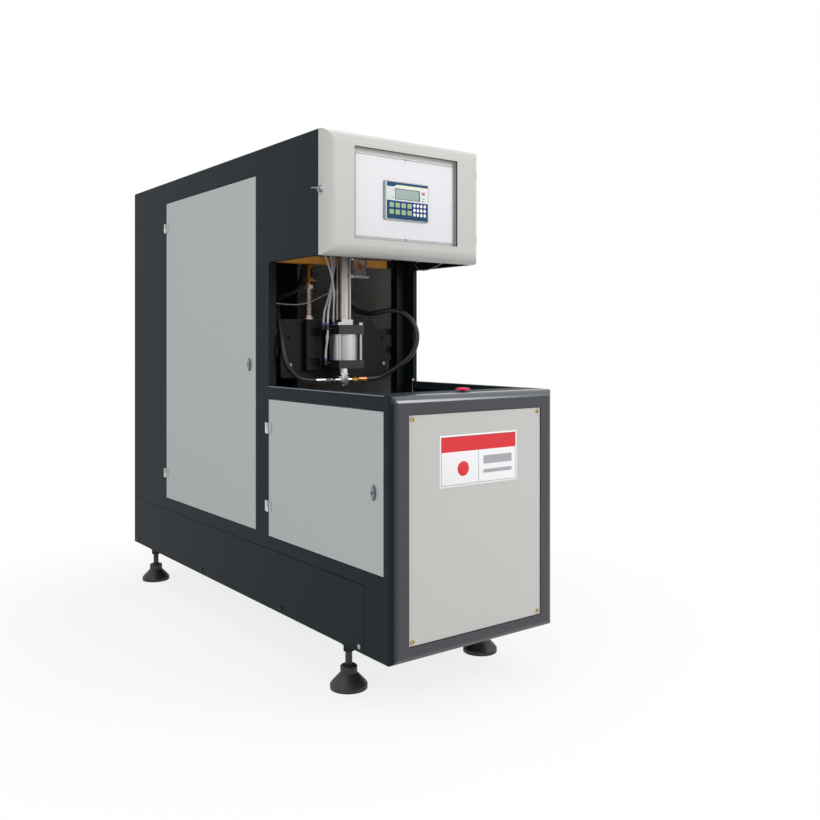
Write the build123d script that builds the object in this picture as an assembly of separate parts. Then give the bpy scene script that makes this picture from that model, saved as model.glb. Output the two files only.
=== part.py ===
from build123d import *
import math
import os

# Stretch blow moulding machine: a low clamp cabinet in front, a tall body behind it, and an
# overhanging arm with the control box. Units are mm. X is across (right as seen from the front),
# the front faces -Y, Z is up from the floor, and the origin is at the bottom centre.
# T counts from the front face towards the back.

# Width, and the sheet that the housing is folded from
WIDTH = 705.0
HALF = WIDTH / 2
SHEET = 3.0
FLANGE = 18.0

# Clearances and fits
SEAM = 0.5
DOOR_GAP = 3.0
RUN_FIT = 0.05
SLIDE_GAP = 1.0

# Heights, from the floor up: base, rails, platens, table, room for the head, arm
BODY_LIFT = 170.0
BASE_HIGH = 224.0
RAIL = 50.0
RACK_LIFT = 32.0
RACK_THICK = 20.0
PLATEN_LIFT = 71.0
PLATEN_HIGH = 430.0
TABLE_ROOM = 60.0
HEAD_ROOM = 468.0
BOX_HIGH = 437.0
SKIRT_TOP = BODY_LIFT + BASE_HIGH
RAIL_TOP = SKIRT_TOP + RAIL
RACK_LOW = RAIL_TOP + RACK_LIFT
RACK_HIGH = RACK_LOW + RACK_THICK
PLATEN_LOW = RAIL_TOP + PLATEN_LIFT
PLATEN_TOP = PLATEN_LOW + PLATEN_HIGH
TABLE_TOP = PLATEN_TOP + TABLE_ROOM
ARM_BOTTOM = TABLE_TOP + HEAD_ROOM
HEIGHT = ARM_BOTTOM + BOX_HIGH

# Front frame and panel
FRONT_DEPTH = 46.0
FRONT_RADIUS = 27.0
FRONT_MARGIN = 64.0
PANEL_LIFT = 50.0
PANEL_DROP = 60.0
PANEL_LOW = BODY_LIFT + PANEL_LIFT
PANEL_HIGH = TABLE_TOP - PANEL_DROP

# Clamp, from the front face back: cylinder, end plate, mould, and the same again behind the mould
CLAMP_FRONT_GAP = 56.0
CYL_RADIUS = 80.0
CYL_LENGTH = 150.0
CYL_COVER = 24.0
CLAMP_ROD = 22.0
END_PLATE_THICK = 30.0
END_PLATE_REACH = 490.0
PLATEN_THICK = 32.0
PLATEN_TRAVEL = 60.0
MOULD_ROOM = 320.0
TIE_RADIUS = 18.0
TIE_INSET = 55.0
TIE_Z = 170.0
CLAMP_FRONT = FRONT_DEPTH + CLAMP_FRONT_GAP
END_FACE = CLAMP_FRONT + 2 * CYL_COVER + CYL_LENGTH + END_PLATE_THICK
HEAD_T = END_FACE + END_PLATE_REACH
CLAMP_REAR = 2 * HEAD_T - CLAMP_FRONT
CLAMP_Z = PLATEN_LOW + PLATEN_HIGH / 2
END_X = HALF - 107.5
TIE_X = END_X - TIE_INSET
TIE_LOW = CLAMP_Z - TIE_Z
TIE_HIGH = CLAMP_Z + TIE_Z

# Lengths of the housing: what stands over the clamp, and the tail with the air receiver
SKIRT_SETBACK = 154.0
ARM_OVER = 384.0
BODY_OVER = 26.0
WALL_GAP = 82.0
TAIL_ROOM = 580.0
REAR_REACH = 80.0
SKIRT_FRONT = SKIRT_SETBACK
ARM_FRONT = HEAD_T - ARM_OVER
TALL_FRONT = HEAD_T - BODY_OVER
WALL_T = CLAMP_REAR + WALL_GAP
LENGTH = WALL_T + TAIL_ROOM

# Doors in the sides
DOOR_DEPTH = 20.0
DOOR_SKIN = 2.5
DOOR_JAMB = 106.0
DOOR_TAIL = 412.0
TALL_DOOR_LIFT = 53.0
TALL_DOOR_DROP = 98.0
LOW_DOOR_LIFT = 47.0
LOW_DOOR_DROP = 50.0
TALL_DOOR_FRONT = TALL_FRONT + DOOR_JAMB
TALL_DOOR_REAR = LENGTH - DOOR_TAIL
TALL_DOOR_LOW = SKIRT_TOP + TALL_DOOR_LIFT
TALL_DOOR_HIGH = HEIGHT - TALL_DOOR_DROP
LOW_DOOR_FRONT = FRONT_DEPTH
LOW_DOOR_LOW = SKIRT_TOP + LOW_DOOR_LIFT
LOW_DOOR_HIGH = TABLE_TOP - LOW_DOOR_DROP

# Control box
BOX_DEPTH = 49.0
BOX_RADIUS = 40.0
RECESS_LIFT = 61.0
RECESS_DROP = 51.0
RECESS_SIDE = 118.0
RECESS_DEPTH = 18.0
PLATE_TOP_GAP = 17.0
BOX_FRONT = ARM_FRONT - BOX_DEPTH
RECESS_LOW = ARM_BOTTOM + RECESS_LIFT
RECESS_HIGH = HEIGHT - RECESS_DROP

# Blow head: seal cylinder over the table, on a plate behind it
HEAD_LIFT = 61.0
SEAL_SIZE = 118.0
SEAL_FOOT_HIGH = 33.0
SEAL_BARREL_LENGTH = 103.0
SEAL_HEAD_HIGH = 37.0
SEAL_BARREL_RADIUS = 56.0
STEM_RADIUS = 12.0
ROD_RADIUS = 6.0
TEE_DROP = 46.0
PLATE_THICK = 12.0
SEAL_LOW = TABLE_TOP + HEAD_LIFT
SEAL_BARREL_LOW = SEAL_LOW + SEAL_FOOT_HIGH
SEAL_BARREL_HIGH = SEAL_BARREL_LOW + SEAL_BARREL_LENGTH
SEAL_HIGH = SEAL_BARREL_HIGH + SEAL_HEAD_HIGH
TEE_Z = SEAL_LOW - TEE_DROP
PLATE_FACE = HEAD_T + SEAL_SIZE / 2 + SLIDE_GAP

made = {}


def at(t):
    """Y of a point that lies t behind the machine's front face."""
    return t - (LENGTH + REAR_REACH) / 2


def block(x0, x1, t0, t1, z0, z1):
    """A box between two corners, with t counted from the front face."""
    box = Box(abs(x1 - x0), abs(t1 - t0), abs(z1 - z0))
    return Pos((x0 + x1) / 2, at((t0 + t1) / 2), (z0 + z1) / 2) * box


def upright(radius, x, t, z0, z1):
    """A vertical round bar."""
    return Pos(x, at(t), (z0 + z1) / 2) * Cylinder(radius, z1 - z0)


def along(radius, x, t0, t1, z):
    """A round bar that lies along the machine."""
    return Pos(x, at((t0 + t1) / 2), z) * Rot(90, 0, 0) * Cylinder(radius, abs(t1 - t0))


def across(radius, x0, x1, t, z):
    """A round bar that lies across the machine."""
    return Pos((x0 + x1) / 2, at(t), z) * Rot(0, 90, 0) * Cylinder(radius, abs(x1 - x0))


def hexagon(across_flats, depth):
    """A hexagonal prism on the origin, with its axis along Z."""
    return extrude(RegularPolygon(across_flats / 2, 6, major_radius=False), depth / 2, both=True)


def save(name, shape):
    """Keeps a piece and writes it to its own STEP file."""
    if isinstance(shape, (list, ShapeList)):
        shape = Compound(children=list(shape))
    made[name] = shape
    shape.label = name
    export_step(shape, "parts/" + name + ".step")


os.makedirs("parts", exist_ok=True)

# Welded frame of square tube: two long rails, cross members, and the two posts of the head
RAIL_FRONT = 170.0
RAIL_END = 20.0
MEMBER_INSET = 25.0
MEMBER_DEPTH = 40.0
MID_MEMBER = 138.0
BASE_RAIL_LIFT = 10.0
BASE_RAIL_LOW = BODY_LIFT + BASE_RAIL_LIFT
POST_GAP = 30.0
POST_DEPTH = 44.0
POST_WIDE = 41.0
POST_SIDE_GAP = 21.5
POST_RISE = 60.0
POST_FRONT = HEAD_T + POST_GAP
POST_OUT = HALF - POST_SIDE_GAP
POST_IN = POST_OUT - POST_WIDE
FOOT_INSET = 55.5
FOOT_FROM_FRONT = 329.0
FOOT_FROM_REAR = 140.0
FOOT_X = HALF - FOOT_INSET
FOOT_FRONT = FOOT_FROM_FRONT
FOOT_REAR = LENGTH - FOOT_FROM_REAR
RAIL_INSET = 127.5
RAIL_X = HALF - RAIL_INSET
BEAM_LIFT = 11.0
BEAM_THICK = 30.0
BEAM_BRACKET = 40.0
BEAM_FRONT = POST_FRONT + 20
BEAM_DEPTH = 40.0
BEAM_LOW = ARM_BOTTOM + BEAM_LIFT
BEAM_HIGH = BEAM_LOW + BEAM_THICK
BOSS_RADIUS = 24.0
BOSS_DROP = 22.0
STUD_RADIUS = 12.0
HEAD_RAIL = 28.0
HEAD_RAIL_DEPTH = 30.0
HEAD_RAIL_LOW_LIFT = 95.0
HEAD_RAIL_TOP_DROP = 62.0
PLATE_LOW = SEAL_LOW - 37
PLATE_TOP = SEAL_HIGH + 23
FLOOR_PLATE = 4.0
FLOOR_FROM_WALL = 80.0
FLOOR_INSET = 102.5
rail_rear = LENGTH - RAIL_END
member_front = RAIL_FRONT + MEMBER_INSET
member_rear = rail_rear - MEMBER_INSET
member_mid = CLAMP_REAR - MID_MEMBER

frame = Part()
for side in (-1, 1):
    for middle, low in ((FOOT_X, BASE_RAIL_LOW), (RAIL_X, SKIRT_TOP)):
        frame += block(
            side * (middle - RAIL / 2), side * (middle + RAIL / 2), RAIL_FRONT, rail_rear, low, low + RAIL,
        )
    frame += block(
        side * POST_IN, side * POST_OUT, POST_FRONT, POST_FRONT + POST_DEPTH,
        BASE_RAIL_LOW, BEAM_HIGH + POST_RISE
    )
    for t in (member_front, member_rear):
        frame += block(side * POST_IN, side * POST_OUT, t - RAIL / 2, t + RAIL / 2, BASE_RAIL_LOW, RAIL_TOP)
    for t in (FOOT_FRONT, FOOT_REAR):
        frame += upright(BOSS_RADIUS, side * FOOT_X, t, BODY_LIFT - BOSS_DROP, BASE_RAIL_LOW + RAIL / 2)
for t in (member_front, POST_FRONT + POST_DEPTH / 2, member_mid, member_rear):
    for low in (SKIRT_TOP, BASE_RAIL_LOW):
        frame += block(-POST_OUT, POST_OUT, t - MEMBER_DEPTH / 2, t + MEMBER_DEPTH / 2, low, low + RAIL)
# Cross rails that carry the head plate
CROSS_FRONT = PLATE_FACE + PLATE_THICK
for low in (PLATE_LOW + HEAD_RAIL_LOW_LIFT, PLATE_TOP - HEAD_RAIL_TOP_DROP):
    frame += block(-POST_OUT, POST_OUT, CROSS_FRONT, CROSS_FRONT + HEAD_RAIL_DEPTH, low, low + HEAD_RAIL)
# Cross member under the base cylinder, and the floor plate under the air receiver
BASE_FRONT = 24.0
BASE_REAR = 20.0
frame += block(-RAIL_X, RAIL_X, HEAD_T - BASE_FRONT, HEAD_T + BASE_REAR, SKIRT_TOP, RAIL_TOP)
floor_x = HALF - FLOOR_INSET
frame += block(-floor_x, floor_x, WALL_T + FLOOR_FROM_WALL, member_rear, RAIL_TOP, RAIL_TOP + FLOOR_PLATE)
# Bracket that holds the right end of the cross beam on its post
frame += block(
    POST_IN - BEAM_BRACKET, POST_IN, BEAM_FRONT + SLIDE_GAP, BEAM_FRONT + BEAM_DEPTH - SLIDE_GAP,
    BEAM_LOW + SLIDE_GAP, BEAM_HIGH - SLIDE_GAP,
)
for side in (-1, 1):
    for t in (FOOT_FRONT, FOOT_REAR):
        frame -= upright(
            STUD_RADIUS + RUN_FIT, side * FOOT_X, t, BODY_LIFT - BOSS_DROP - 1, BASE_RAIL_LOW + RAIL + 1,
        )

# Skirt round the base, a folded sheet ring that is open below
LIP = 20.0
skirt = block(-HALF, HALF, SKIRT_FRONT, LENGTH, BODY_LIFT, SKIRT_TOP - SEAM)
skirt -= block(
    -HALF + SHEET, HALF - SHEET, SKIRT_FRONT - 1, LENGTH - SHEET, BODY_LIFT - 1, SKIRT_TOP - SEAM - SHEET,
)
skirt -= block(-HALF + LIP, HALF - LIP, SKIRT_FRONT - 1, LENGTH - LIP, SKIRT_TOP - LIP, SKIRT_TOP)
save("skirt", skirt)

# Levelling feet: a bell-shaped pad with its stud, and lock nuts under the base
PAD_RADIUS = 64.0
PAD_RIM = 14.0
PAD_HIGH = 52.0
COLLAR_RADIUS = 29.0
COLLAR_HIGH = 26.0
STUD_TOP = BASE_RAIL_LOW + 20
NUT_HIGH = 22.0
NUT_FLATS = 36.0
collar_top = PAD_HIGH + COLLAR_HIGH
foot_profile = Polyline(
    (0, 0), (PAD_RADIUS, 0), (PAD_RADIUS, PAD_RIM), (PAD_RADIUS - 8, PAD_RIM + 10),
    (COLLAR_RADIUS + 6, PAD_HIGH - 6), (COLLAR_RADIUS, PAD_HIGH), (COLLAR_RADIUS, collar_top - 4),
    (COLLAR_RADIUS - 5, collar_top), (0, collar_top), close=True,
)
pad = revolve(make_face(Plane.XZ * foot_profile), Axis.Z)
nuts = []
for name, side, t in (
    ("foot_front_left", -1, FOOT_FRONT),
    ("foot_front_right", 1, FOOT_FRONT),
    ("foot_rear_left", -1, FOOT_REAR),
    ("foot_rear_right", 1, FOOT_REAR),
):
    foot = Pos(side * FOOT_X, at(t), 0) * pad
    foot += upright(STUD_RADIUS, side * FOOT_X, t, PAD_HIGH, STUD_TOP)
    save(name, foot)
    nut_low = BODY_LIFT - BOSS_DROP - NUT_HIGH
    nut = Pos(side * FOOT_X, at(t), nut_low + NUT_HIGH / 2) * hexagon(NUT_FLATS, NUT_HIGH)
    nuts.append(nut - upright(STUD_RADIUS + RUN_FIT, side * FOOT_X, t, nut_low - 1, BODY_LIFT))
save("foot_lock_nuts", nuts)

# Front frame: a moulded surround with rounded outer edges, open behind, with a return round the panel
front = block(-HALF, HALF, 0, FRONT_DEPTH, BODY_LIFT, TABLE_TOP)
front = fillet(front.faces().sort_by(Axis.Y)[0].edges(), FRONT_RADIUS)
hollow = block(-HALF + SHEET, HALF - SHEET, SHEET, FRONT_DEPTH + 1, BODY_LIFT + SHEET, TABLE_TOP - SHEET)
hollow = fillet(hollow.faces().sort_by(Axis.Y)[0].edges(), FRONT_RADIUS - SHEET)
front -= hollow
panel_x = HALF - FRONT_MARGIN
RETURN_DEPTH = 16.0
PAN_SET = 3.0
PAN_DEPTH = 10.0
PAN_GAP = 2.0
LEDGE = 10.0
pan_back = PAN_SET + PAN_DEPTH
front += block(-panel_x - SHEET, panel_x + SHEET, 0, RETURN_DEPTH, PANEL_LOW - SHEET, PANEL_HIGH + SHEET)
front -= block(-panel_x + LEDGE, panel_x - LEDGE, -1, RETURN_DEPTH + 1, PANEL_LOW + LEDGE, PANEL_HIGH - LEDGE)
front -= block(-panel_x, panel_x, -1, pan_back, PANEL_LOW, PANEL_HIGH)
save("front_frame", front)

# Front panel: a shallow folded pan that sits in the frame's return, held by four screws
PAN_WALL = 2.0
SCREW_INSET = 14.0
SCREW_HEAD = 7.5
SCREW_HEAD_HIGH = 3.0
SCREW_SHANK = 4.0
pan_x = panel_x - PAN_GAP
panel = block(-pan_x, pan_x, PAN_SET, pan_back, PANEL_LOW + PAN_GAP, PANEL_HIGH - PAN_GAP)
panel -= block(
    -pan_x + PAN_WALL, pan_x - PAN_WALL, PAN_SET + PAN_WALL, pan_back + 1,
    PANEL_LOW + PAN_GAP + PAN_WALL, PANEL_HIGH - PAN_GAP - PAN_WALL,
)
panel_screws = []
screw_x = panel_x - SCREW_INSET
for side in (-1, 1):
    for z in (PANEL_HIGH - SCREW_INSET, PANEL_LOW + SCREW_INSET):
        panel += along(SCREW_HEAD, side * screw_x, PAN_SET + PAN_WALL, pan_back, z)
        panel -= along(SCREW_SHANK + RUN_FIT, side * screw_x, 0, pan_back + 1, z)
        screw = along(SCREW_HEAD, side * screw_x, PAN_SET - SCREW_HEAD_HIGH, PAN_SET, z)
        panel_screws.append(screw + along(SCREW_SHANK, side * screw_x, PAN_SET, RETURN_DEPTH + 1, z))
save("front_panel", panel)
save("panel_screws", panel_screws)

# Latches: where they sit on their doors, and the strikes that their cams draw against
LATCH_TALL_INSET = 44.0
LATCH_LOW_INSET = 50.0
LATCH_TALL_Z = 1083.0
LATCH_LOW_Z = 697.0
LATCH_RADIUS = 9.0
CAM_THICK = 3.5
CAM_SET = 4.5
STRIKE_GAP = 0.8
STRIKE_HALF = 26.0
CAM_WIDE = 11.0
LATCH_TALL_T = TALL_DOOR_FRONT + LATCH_TALL_INSET
LATCH_LOW_T = LOW_DOOR_FRONT + LATCH_LOW_INSET
# X of the inner face of the strikes, behind which a turned cam sits
strike_x = HALF - DOOR_DEPTH - CAM_SET + STRIKE_GAP

# Low cabinet: folded side sheets with a door opening each, a top rail in front and a rim round the well
RIM = 28.0
WELL_FRONT = 150.0
RIM_DEEP = 30.0
LIP_DEEP = 17.0
POST_T = 62.0
POST_LONG = 30.0
POST_FROM = 30.0
POST_TO = 56.0
rail_front = FRONT_DEPTH + SEAM
low_rear = TALL_FRONT - SEAM
post_rear = POST_T + POST_LONG
low = block(-HALF, HALF, rail_front, low_rear, SKIRT_TOP, TABLE_TOP)
low += block(-HALF, HALF, rail_front, SKIRT_FRONT - SEAM, BODY_LIFT, SKIRT_TOP)
low -= block(-HALF + SHEET, HALF - SHEET, 0, TALL_FRONT, BODY_LIFT - 1, TABLE_TOP - SHEET)
low -= block(-HALF + RIM, HALF - RIM, WELL_FRONT, TALL_FRONT, TABLE_TOP - RIM_DEEP, TABLE_TOP + 1)
low -= block(
    -HALF - 1, HALF + 1, LOW_DOOR_FRONT, TALL_FRONT, LOW_DOOR_LOW - DOOR_GAP, LOW_DOOR_HIGH + DOOR_GAP,
)
low += block(-HALF + RIM, HALF - RIM, WELL_FRONT, WELL_FRONT + SHEET, TABLE_TOP - RIM_DEEP, TABLE_TOP)
rim_low = TABLE_TOP - RIM_DEEP
for side in (-1, 1):
    low += block(side * (HALF - RIM), side * (HALF - RIM - SHEET), WELL_FRONT, low_rear, rim_low, TABLE_TOP)
    for z in (LOW_DOOR_LOW - LIP, LOW_DOOR_HIGH + DOOR_GAP):
        low += block(
            side * (HALF - SHEET), side * (HALF - SHEET - LIP_DEEP), rail_front, low_rear, z, z + SHEET,
        )
# Posts behind the front frame tie the strip above the door to the one below, and carry the strikes
STRIKE_SIDE = 21.0
STRIKE_WIDE = 13.0
STRIKE_WEB = 3.0
BEHIND_LATCH = 46.0
strike_t = LATCH_LOW_T - BEHIND_LATCH
post_top = TABLE_TOP - SHEET
strike_out = HALF - STRIKE_SIDE
strike_in = strike_out - STRIKE_WIDE
strike_low = LATCH_LOW_Z - STRIKE_HALF
strike_high = LATCH_LOW_Z + STRIKE_HALF
for side in (-1, 1):
    post_in = side * (HALF - POST_TO)
    low += block(side * (HALF - POST_FROM), post_in, POST_T, post_rear, BODY_LIFT + LIP, post_top)
    low += block(side * (HALF - SHEET), post_in, POST_T, post_rear, SKIRT_TOP, LOW_DOOR_LOW - DOOR_GAP - 2)
    low += block(side * (HALF - SHEET), post_in, POST_T, post_rear, LOW_DOOR_HIGH + DOOR_GAP + 2, post_top)
    strike = block(
        side * strike_in, side * strike_out, strike_t, strike_t + STRIKE_WEB, strike_low, strike_high,
    )
    for x in (strike_in + STRIKE_WEB, strike_out):
        strike += block(side * (x - STRIKE_WEB), side * x, strike_t, POST_T + 2, strike_low, strike_high)
    low += strike
ESTOP_T = 82.0
ESTOP_BODY = 11.0
low -= upright(ESTOP_BODY + SEAM, 0, ESTOP_T, TABLE_TOP - LIP, TABLE_TOP + LIP)
save("low_cabinet", low)

# Tall body and overhanging arm in one folded shell
JAMB_LIP = 8.0
TIE_WEB = 4.0
tall = block(-HALF, HALF, TALL_FRONT, LENGTH, SKIRT_TOP, HEIGHT)
tall += block(-HALF, HALF, ARM_FRONT, TALL_FRONT, ARM_BOTTOM, HEIGHT)
tall -= block(-HALF + SHEET, HALF - SHEET, TALL_FRONT - 10, LENGTH - SHEET, SKIRT_TOP - 1, HEIGHT - SHEET)
tall -= block(-HALF + SHEET, HALF - SHEET, ARM_FRONT - 1, TALL_FRONT + 10, ARM_BOTTOM - 1, HEIGHT - SHEET)
jamb_top = ARM_BOTTOM + SHEET
for side in (-1, 1):
    tall -= block(
        side * (HALF - 10), side * (HALF + 10), TALL_DOOR_FRONT - DOOR_GAP, TALL_DOOR_REAR + DOOR_GAP,
        TALL_DOOR_LOW - DOOR_GAP, TALL_DOOR_HIGH + DOOR_GAP,
    )
    lip_x = side * (HALF - FLANGE)
    tall += block(side * HALF, lip_x, TALL_FRONT, TALL_FRONT + SHEET, TABLE_TOP + 1, jamb_top)
    tall += block(
        side * HALF, side * (HALF - SHEET - JAMB_LIP), TALL_FRONT, TALL_FRONT + SHEET, SKIRT_TOP, jamb_top,
    )
    tall += block(side * HALF, lip_x, ARM_FRONT, TALL_FRONT + SHEET, ARM_BOTTOM, jamb_top)
    tall += block(side * HALF, lip_x, ARM_FRONT, ARM_FRONT + SHEET, ARM_BOTTOM, HEIGHT)
    tall += block(
        side * (HALF - SHEET), side * POST_OUT, POST_FRONT + TIE_WEB, POST_FRONT + POST_DEPTH - TIE_WEB,
        RAIL_TOP + LIP, ARM_BOTTOM + RAIL,
    )
# Rear opening for the service panel
REAR_INSET = 82.5
REAR_LIFT = 46.0
REAR_DROP = 150.0
REAR_LEDGE = 20.0
REAR_X = HALF - REAR_INSET
REAR_LOW = SKIRT_TOP + REAR_LIFT
REAR_HIGH = HEIGHT - REAR_DROP
tall -= block(
    -REAR_X + REAR_LEDGE, REAR_X - REAR_LEDGE, LENGTH - 10, LENGTH + 1,
    REAR_LOW + REAR_LEDGE, REAR_HIGH - REAR_LEDGE
)
# Strikes that the turned cams of the tall doors draw against
strike_rear = TALL_DOOR_FRONT + 12
strike_low = LATCH_TALL_Z - STRIKE_HALF
strike_high = LATCH_TALL_Z + STRIKE_HALF
strike_web = TALL_DOOR_FRONT - 4.5
for side in (-1, 1):
    foot = side * (HALF - SHEET)
    blade = side * strike_x
    tall += block(
        foot, side * (strike_x + SHEET), strike_web - 11.5, strike_web + 0.5, strike_low, strike_high,
    )
    tall += block(foot, blade, strike_web, strike_web + SHEET, strike_low, strike_high)
    tall += block(side * (strike_x + SHEET), blade, strike_web, strike_rear, strike_low, strike_high)

# Lock of the control box: its height, and a slot in the flange of the arm for its cam
LOCK_LIFT = 226.0
LOCK_SETBACK = 16.0
LOCK_RADIUS = 8.0
LOCK_REACH = 46.0
LOCK_Z = ARM_BOTTOM + LOCK_LIFT
LOCK_T = ARM_FRONT - LOCK_SETBACK
tall -= block(
    -HALF + SHEET, -HALF + FLANGE + 1, ARM_FRONT - 1, ARM_FRONT + LIP,
    LOCK_Z - LOCK_REACH, LOCK_Z + LOCK_REACH
)
# Service panel on the back with ventilation slots
SLOT_COUNT = 9
SLOT_STEP = 22.0
SLOT_HALF = 120.0
SLOT_FROM_END = 110.0
SLOT_RADIUS = 4.0
REAR_SHEET = 2.5
rear = block(-REAR_X, REAR_X, LENGTH + 0.01, LENGTH + REAR_SHEET + 0.01, REAR_LOW, REAR_HIGH)
for first, step in ((REAR_LOW + SLOT_FROM_END, SLOT_STEP), (REAR_HIGH - SLOT_FROM_END, -SLOT_STEP)):
    for column in range(SLOT_COUNT):
        z = first + column * step
        rear -= block(-SLOT_HALF, SLOT_HALF, LENGTH - 5, LENGTH + 5, z - SLOT_RADIUS, z + SLOT_RADIUS)
save("service_panel", rear)


def door_pan(t0, t1, z0, z1, side):
    """A door folded as a shallow pan, flush with the side sheet."""
    pan = block(side * HALF, side * (HALF - DOOR_DEPTH), t0, t1, z0, z1)
    return pan - block(
        side * (HALF - DOOR_SKIN), side * (HALF - DOOR_DEPTH - 1), t0 + 2, t1 - 2, z0 + 2, z1 - 2,
    )


HINGE_OUT = 5.0
HINGE_HALF = 20.0
TALL_HINGE_IN = 114.0
LOW_HINGE_LIFT = 112.0
LOW_HINGE_DROP = 108.0
HINGE_TALL_Z = (TALL_DOOR_LOW + TALL_HINGE_IN, TALL_DOOR_HIGH - TALL_HINGE_IN)
HINGE_LOW_Z = (LOW_DOOR_LOW + LOW_HINGE_LIFT, LOW_DOOR_HIGH - LOW_HINGE_DROP)


def knuckle(side, t, z, half, door):
    """One half of a small butt hinge: a leaf on the sheet and a knuckle round the pin line."""
    reach = -24 if door else 24
    z0, z1 = (z, z + half) if door else (z - half, z)
    z1 -= 0.4 if not door else 0
    leaf = block(side * HALF, side * (HALF + 2.5), t, t + reach, z - half, z + half)
    leaf -= block(side * (HALF - 1), side * (HALF + 8), t - 6.5, t + 6.5, z - half - 1, z + half + 1)
    leaf += block(side * HALF, side * (HALF + 2.5), t + math.copysign(5.0, reach), t + reach, z0, z1)
    web = block(side * (HALF + 0.2), side * (HALF + 3.0), t, t + math.copysign(7.0, reach), z0, z1)
    half_hinge = leaf + web + upright(4.5, side * (HALF + HINGE_OUT), t, z0, z1)
    if door:
        return half_hinge - upright(2 + RUN_FIT, side * (HALF + HINGE_OUT), t, z - 1, z + half - 3)
    return half_hinge + upright(2, side * (HALF + HINGE_OUT), t, z - 2, z + half - 4)


def latch(side, t, z, cam_reach):
    """A quarter-turn latch: a lens-shaped grip outside, a spindle and a cam inside."""
    grip = extrude(make_face(Sketch() + [
        ThreePointArc((0, 24), (9, 0), (0, -24)), ThreePointArc((0, -24), (-9, 0), (0, 24))]), 9)
    grip = Rot(0, 90, 0) * Rot(0, 0, 90) * grip if side > 0 else Rot(0, -90, 0) * Rot(0, 0, 90) * grip
    body = Pos(side * (HALF + SLIDE_GAP), at(t), z) * grip
    body += across(LATCH_RADIUS - RUN_FIT, side * (HALF + 3), side * (HALF - DOOR_DEPTH - 8), t, z)
    cam_x = HALF - DOOR_DEPTH - CAM_SET
    body += block(
        side * cam_x, side * (cam_x - CAM_THICK), t - CAM_WIDE, t + CAM_WIDE, z - cam_reach, z + CAM_WIDE,
    )
    return body


hinges = []
for name, side in (("left", -1), ("right", 1)):
    tall_door = door_pan(TALL_DOOR_FRONT, TALL_DOOR_REAR, TALL_DOOR_LOW, TALL_DOOR_HIGH, side)
    low_door = door_pan(LOW_DOOR_FRONT + DOOR_GAP, TALL_FRONT - 1, LOW_DOOR_LOW, LOW_DOOR_HIGH, side)
    tall_door += across(LATCH_RADIUS + 7, side * HALF, side * (HALF - 18), LATCH_TALL_T, LATCH_TALL_Z)
    tall_door -= across(LATCH_RADIUS, side * (HALF + 1), side * (HALF - 19), LATCH_TALL_T, LATCH_TALL_Z)
    low_door += across(LATCH_RADIUS + 7, side * HALF, side * (HALF - 18), LATCH_LOW_T, LATCH_LOW_Z)
    low_door -= across(LATCH_RADIUS, side * (HALF + 1), side * (HALF - 19), LATCH_LOW_T, LATCH_LOW_Z)
    for z in HINGE_TALL_Z:
        tall_door += knuckle(side, TALL_DOOR_REAR + DOOR_GAP / 2, z, HINGE_HALF, True)
        hinges.append(knuckle(side, TALL_DOOR_REAR + DOOR_GAP / 2, z, HINGE_HALF, False))
    for z in HINGE_LOW_Z:
        low_door += knuckle(side, TALL_FRONT + 0.5, z, HINGE_HALF, True)
        hinges.append(knuckle(side, TALL_FRONT + 0.5, z, HINGE_HALF, False))
    save("tall_door_" + name, tall_door)
    save("low_door_" + name, low_door)
    save("tall_latch_" + name, latch(side, LATCH_TALL_T, LATCH_TALL_Z, 42))
    save("low_latch_" + name, latch(side, LATCH_LOW_T, LATCH_LOW_Z, 39))

# Control box door: a deep moulded door with large outer radii and a recessed face
box_door = block(-HALF, HALF, BOX_FRONT, ARM_FRONT - SEAM, ARM_BOTTOM, HEIGHT)
box_door = fillet(box_door.faces().sort_by(Axis.Y)[0].edges(), BOX_RADIUS)
inner = block(
    -HALF + SHEET, HALF - SHEET, BOX_FRONT + SHEET, ARM_FRONT + 1, ARM_BOTTOM + SHEET, HEIGHT - SHEET,
)
box_door -= fillet(inner.faces().sort_by(Axis.Y)[0].edges(), BOX_RADIUS - SHEET)
recess_x = HALF - RECESS_SIDE
box_door += block(
    -recess_x - SHEET, recess_x + SHEET, BOX_FRONT, BOX_FRONT + RECESS_DEPTH + SHEET,
    RECESS_LOW - SHEET, RECESS_HIGH + SHEET,
)
box_door -= block(-recess_x, recess_x, BOX_FRONT - 1, BOX_FRONT + RECESS_DEPTH, RECESS_LOW, RECESS_HIGH)
box_door -= block(-recess_x + 40, recess_x - 40, BOX_FRONT, ARM_FRONT, RECESS_LOW + 40, RECESS_HIGH - 40)
box_door += across(LOCK_RADIUS + 6, -HALF, -HALF + 14, LOCK_T, LOCK_Z)
box_door -= across(LOCK_RADIUS, -HALF - 1, -HALF + 15, LOCK_T, LOCK_Z)
# It swings on two butt hinges at the right
BOX_HINGE_IN = 100.0
for z in (ARM_BOTTOM + BOX_HINGE_IN - 13, HEIGHT - BOX_HINGE_IN):
    leaf = block(HALF, HALF + 2.5, ARM_FRONT - 24, ARM_FRONT - 5, z, z + 20)
    leaf += block(HALF - 0.5, HALF + 3, ARM_FRONT - 7, ARM_FRONT - SEAM, z, z + 20)
    box_door += leaf + upright(4.5, HALF + HINGE_OUT, ARM_FRONT, z, z + 20)
    box_door -= upright(2 + RUN_FIT, HALF + HINGE_OUT, ARM_FRONT, z - 1, z + 17)
    fixed = block(HALF, HALF + 2.5, ARM_FRONT + 5, ARM_FRONT + 24, z - 20, z - 0.4)
    fixed += block(HALF, HALF + 3, ARM_FRONT + SEAM, ARM_FRONT + 7, z - 20, z - 0.4)
    fixed += upright(4.5, HALF + HINGE_OUT, ARM_FRONT, z - 20, z - 0.4)
    hinges.append(fixed + upright(2, HALF + HINGE_OUT, ARM_FRONT, z - 2, z + 16))
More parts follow.
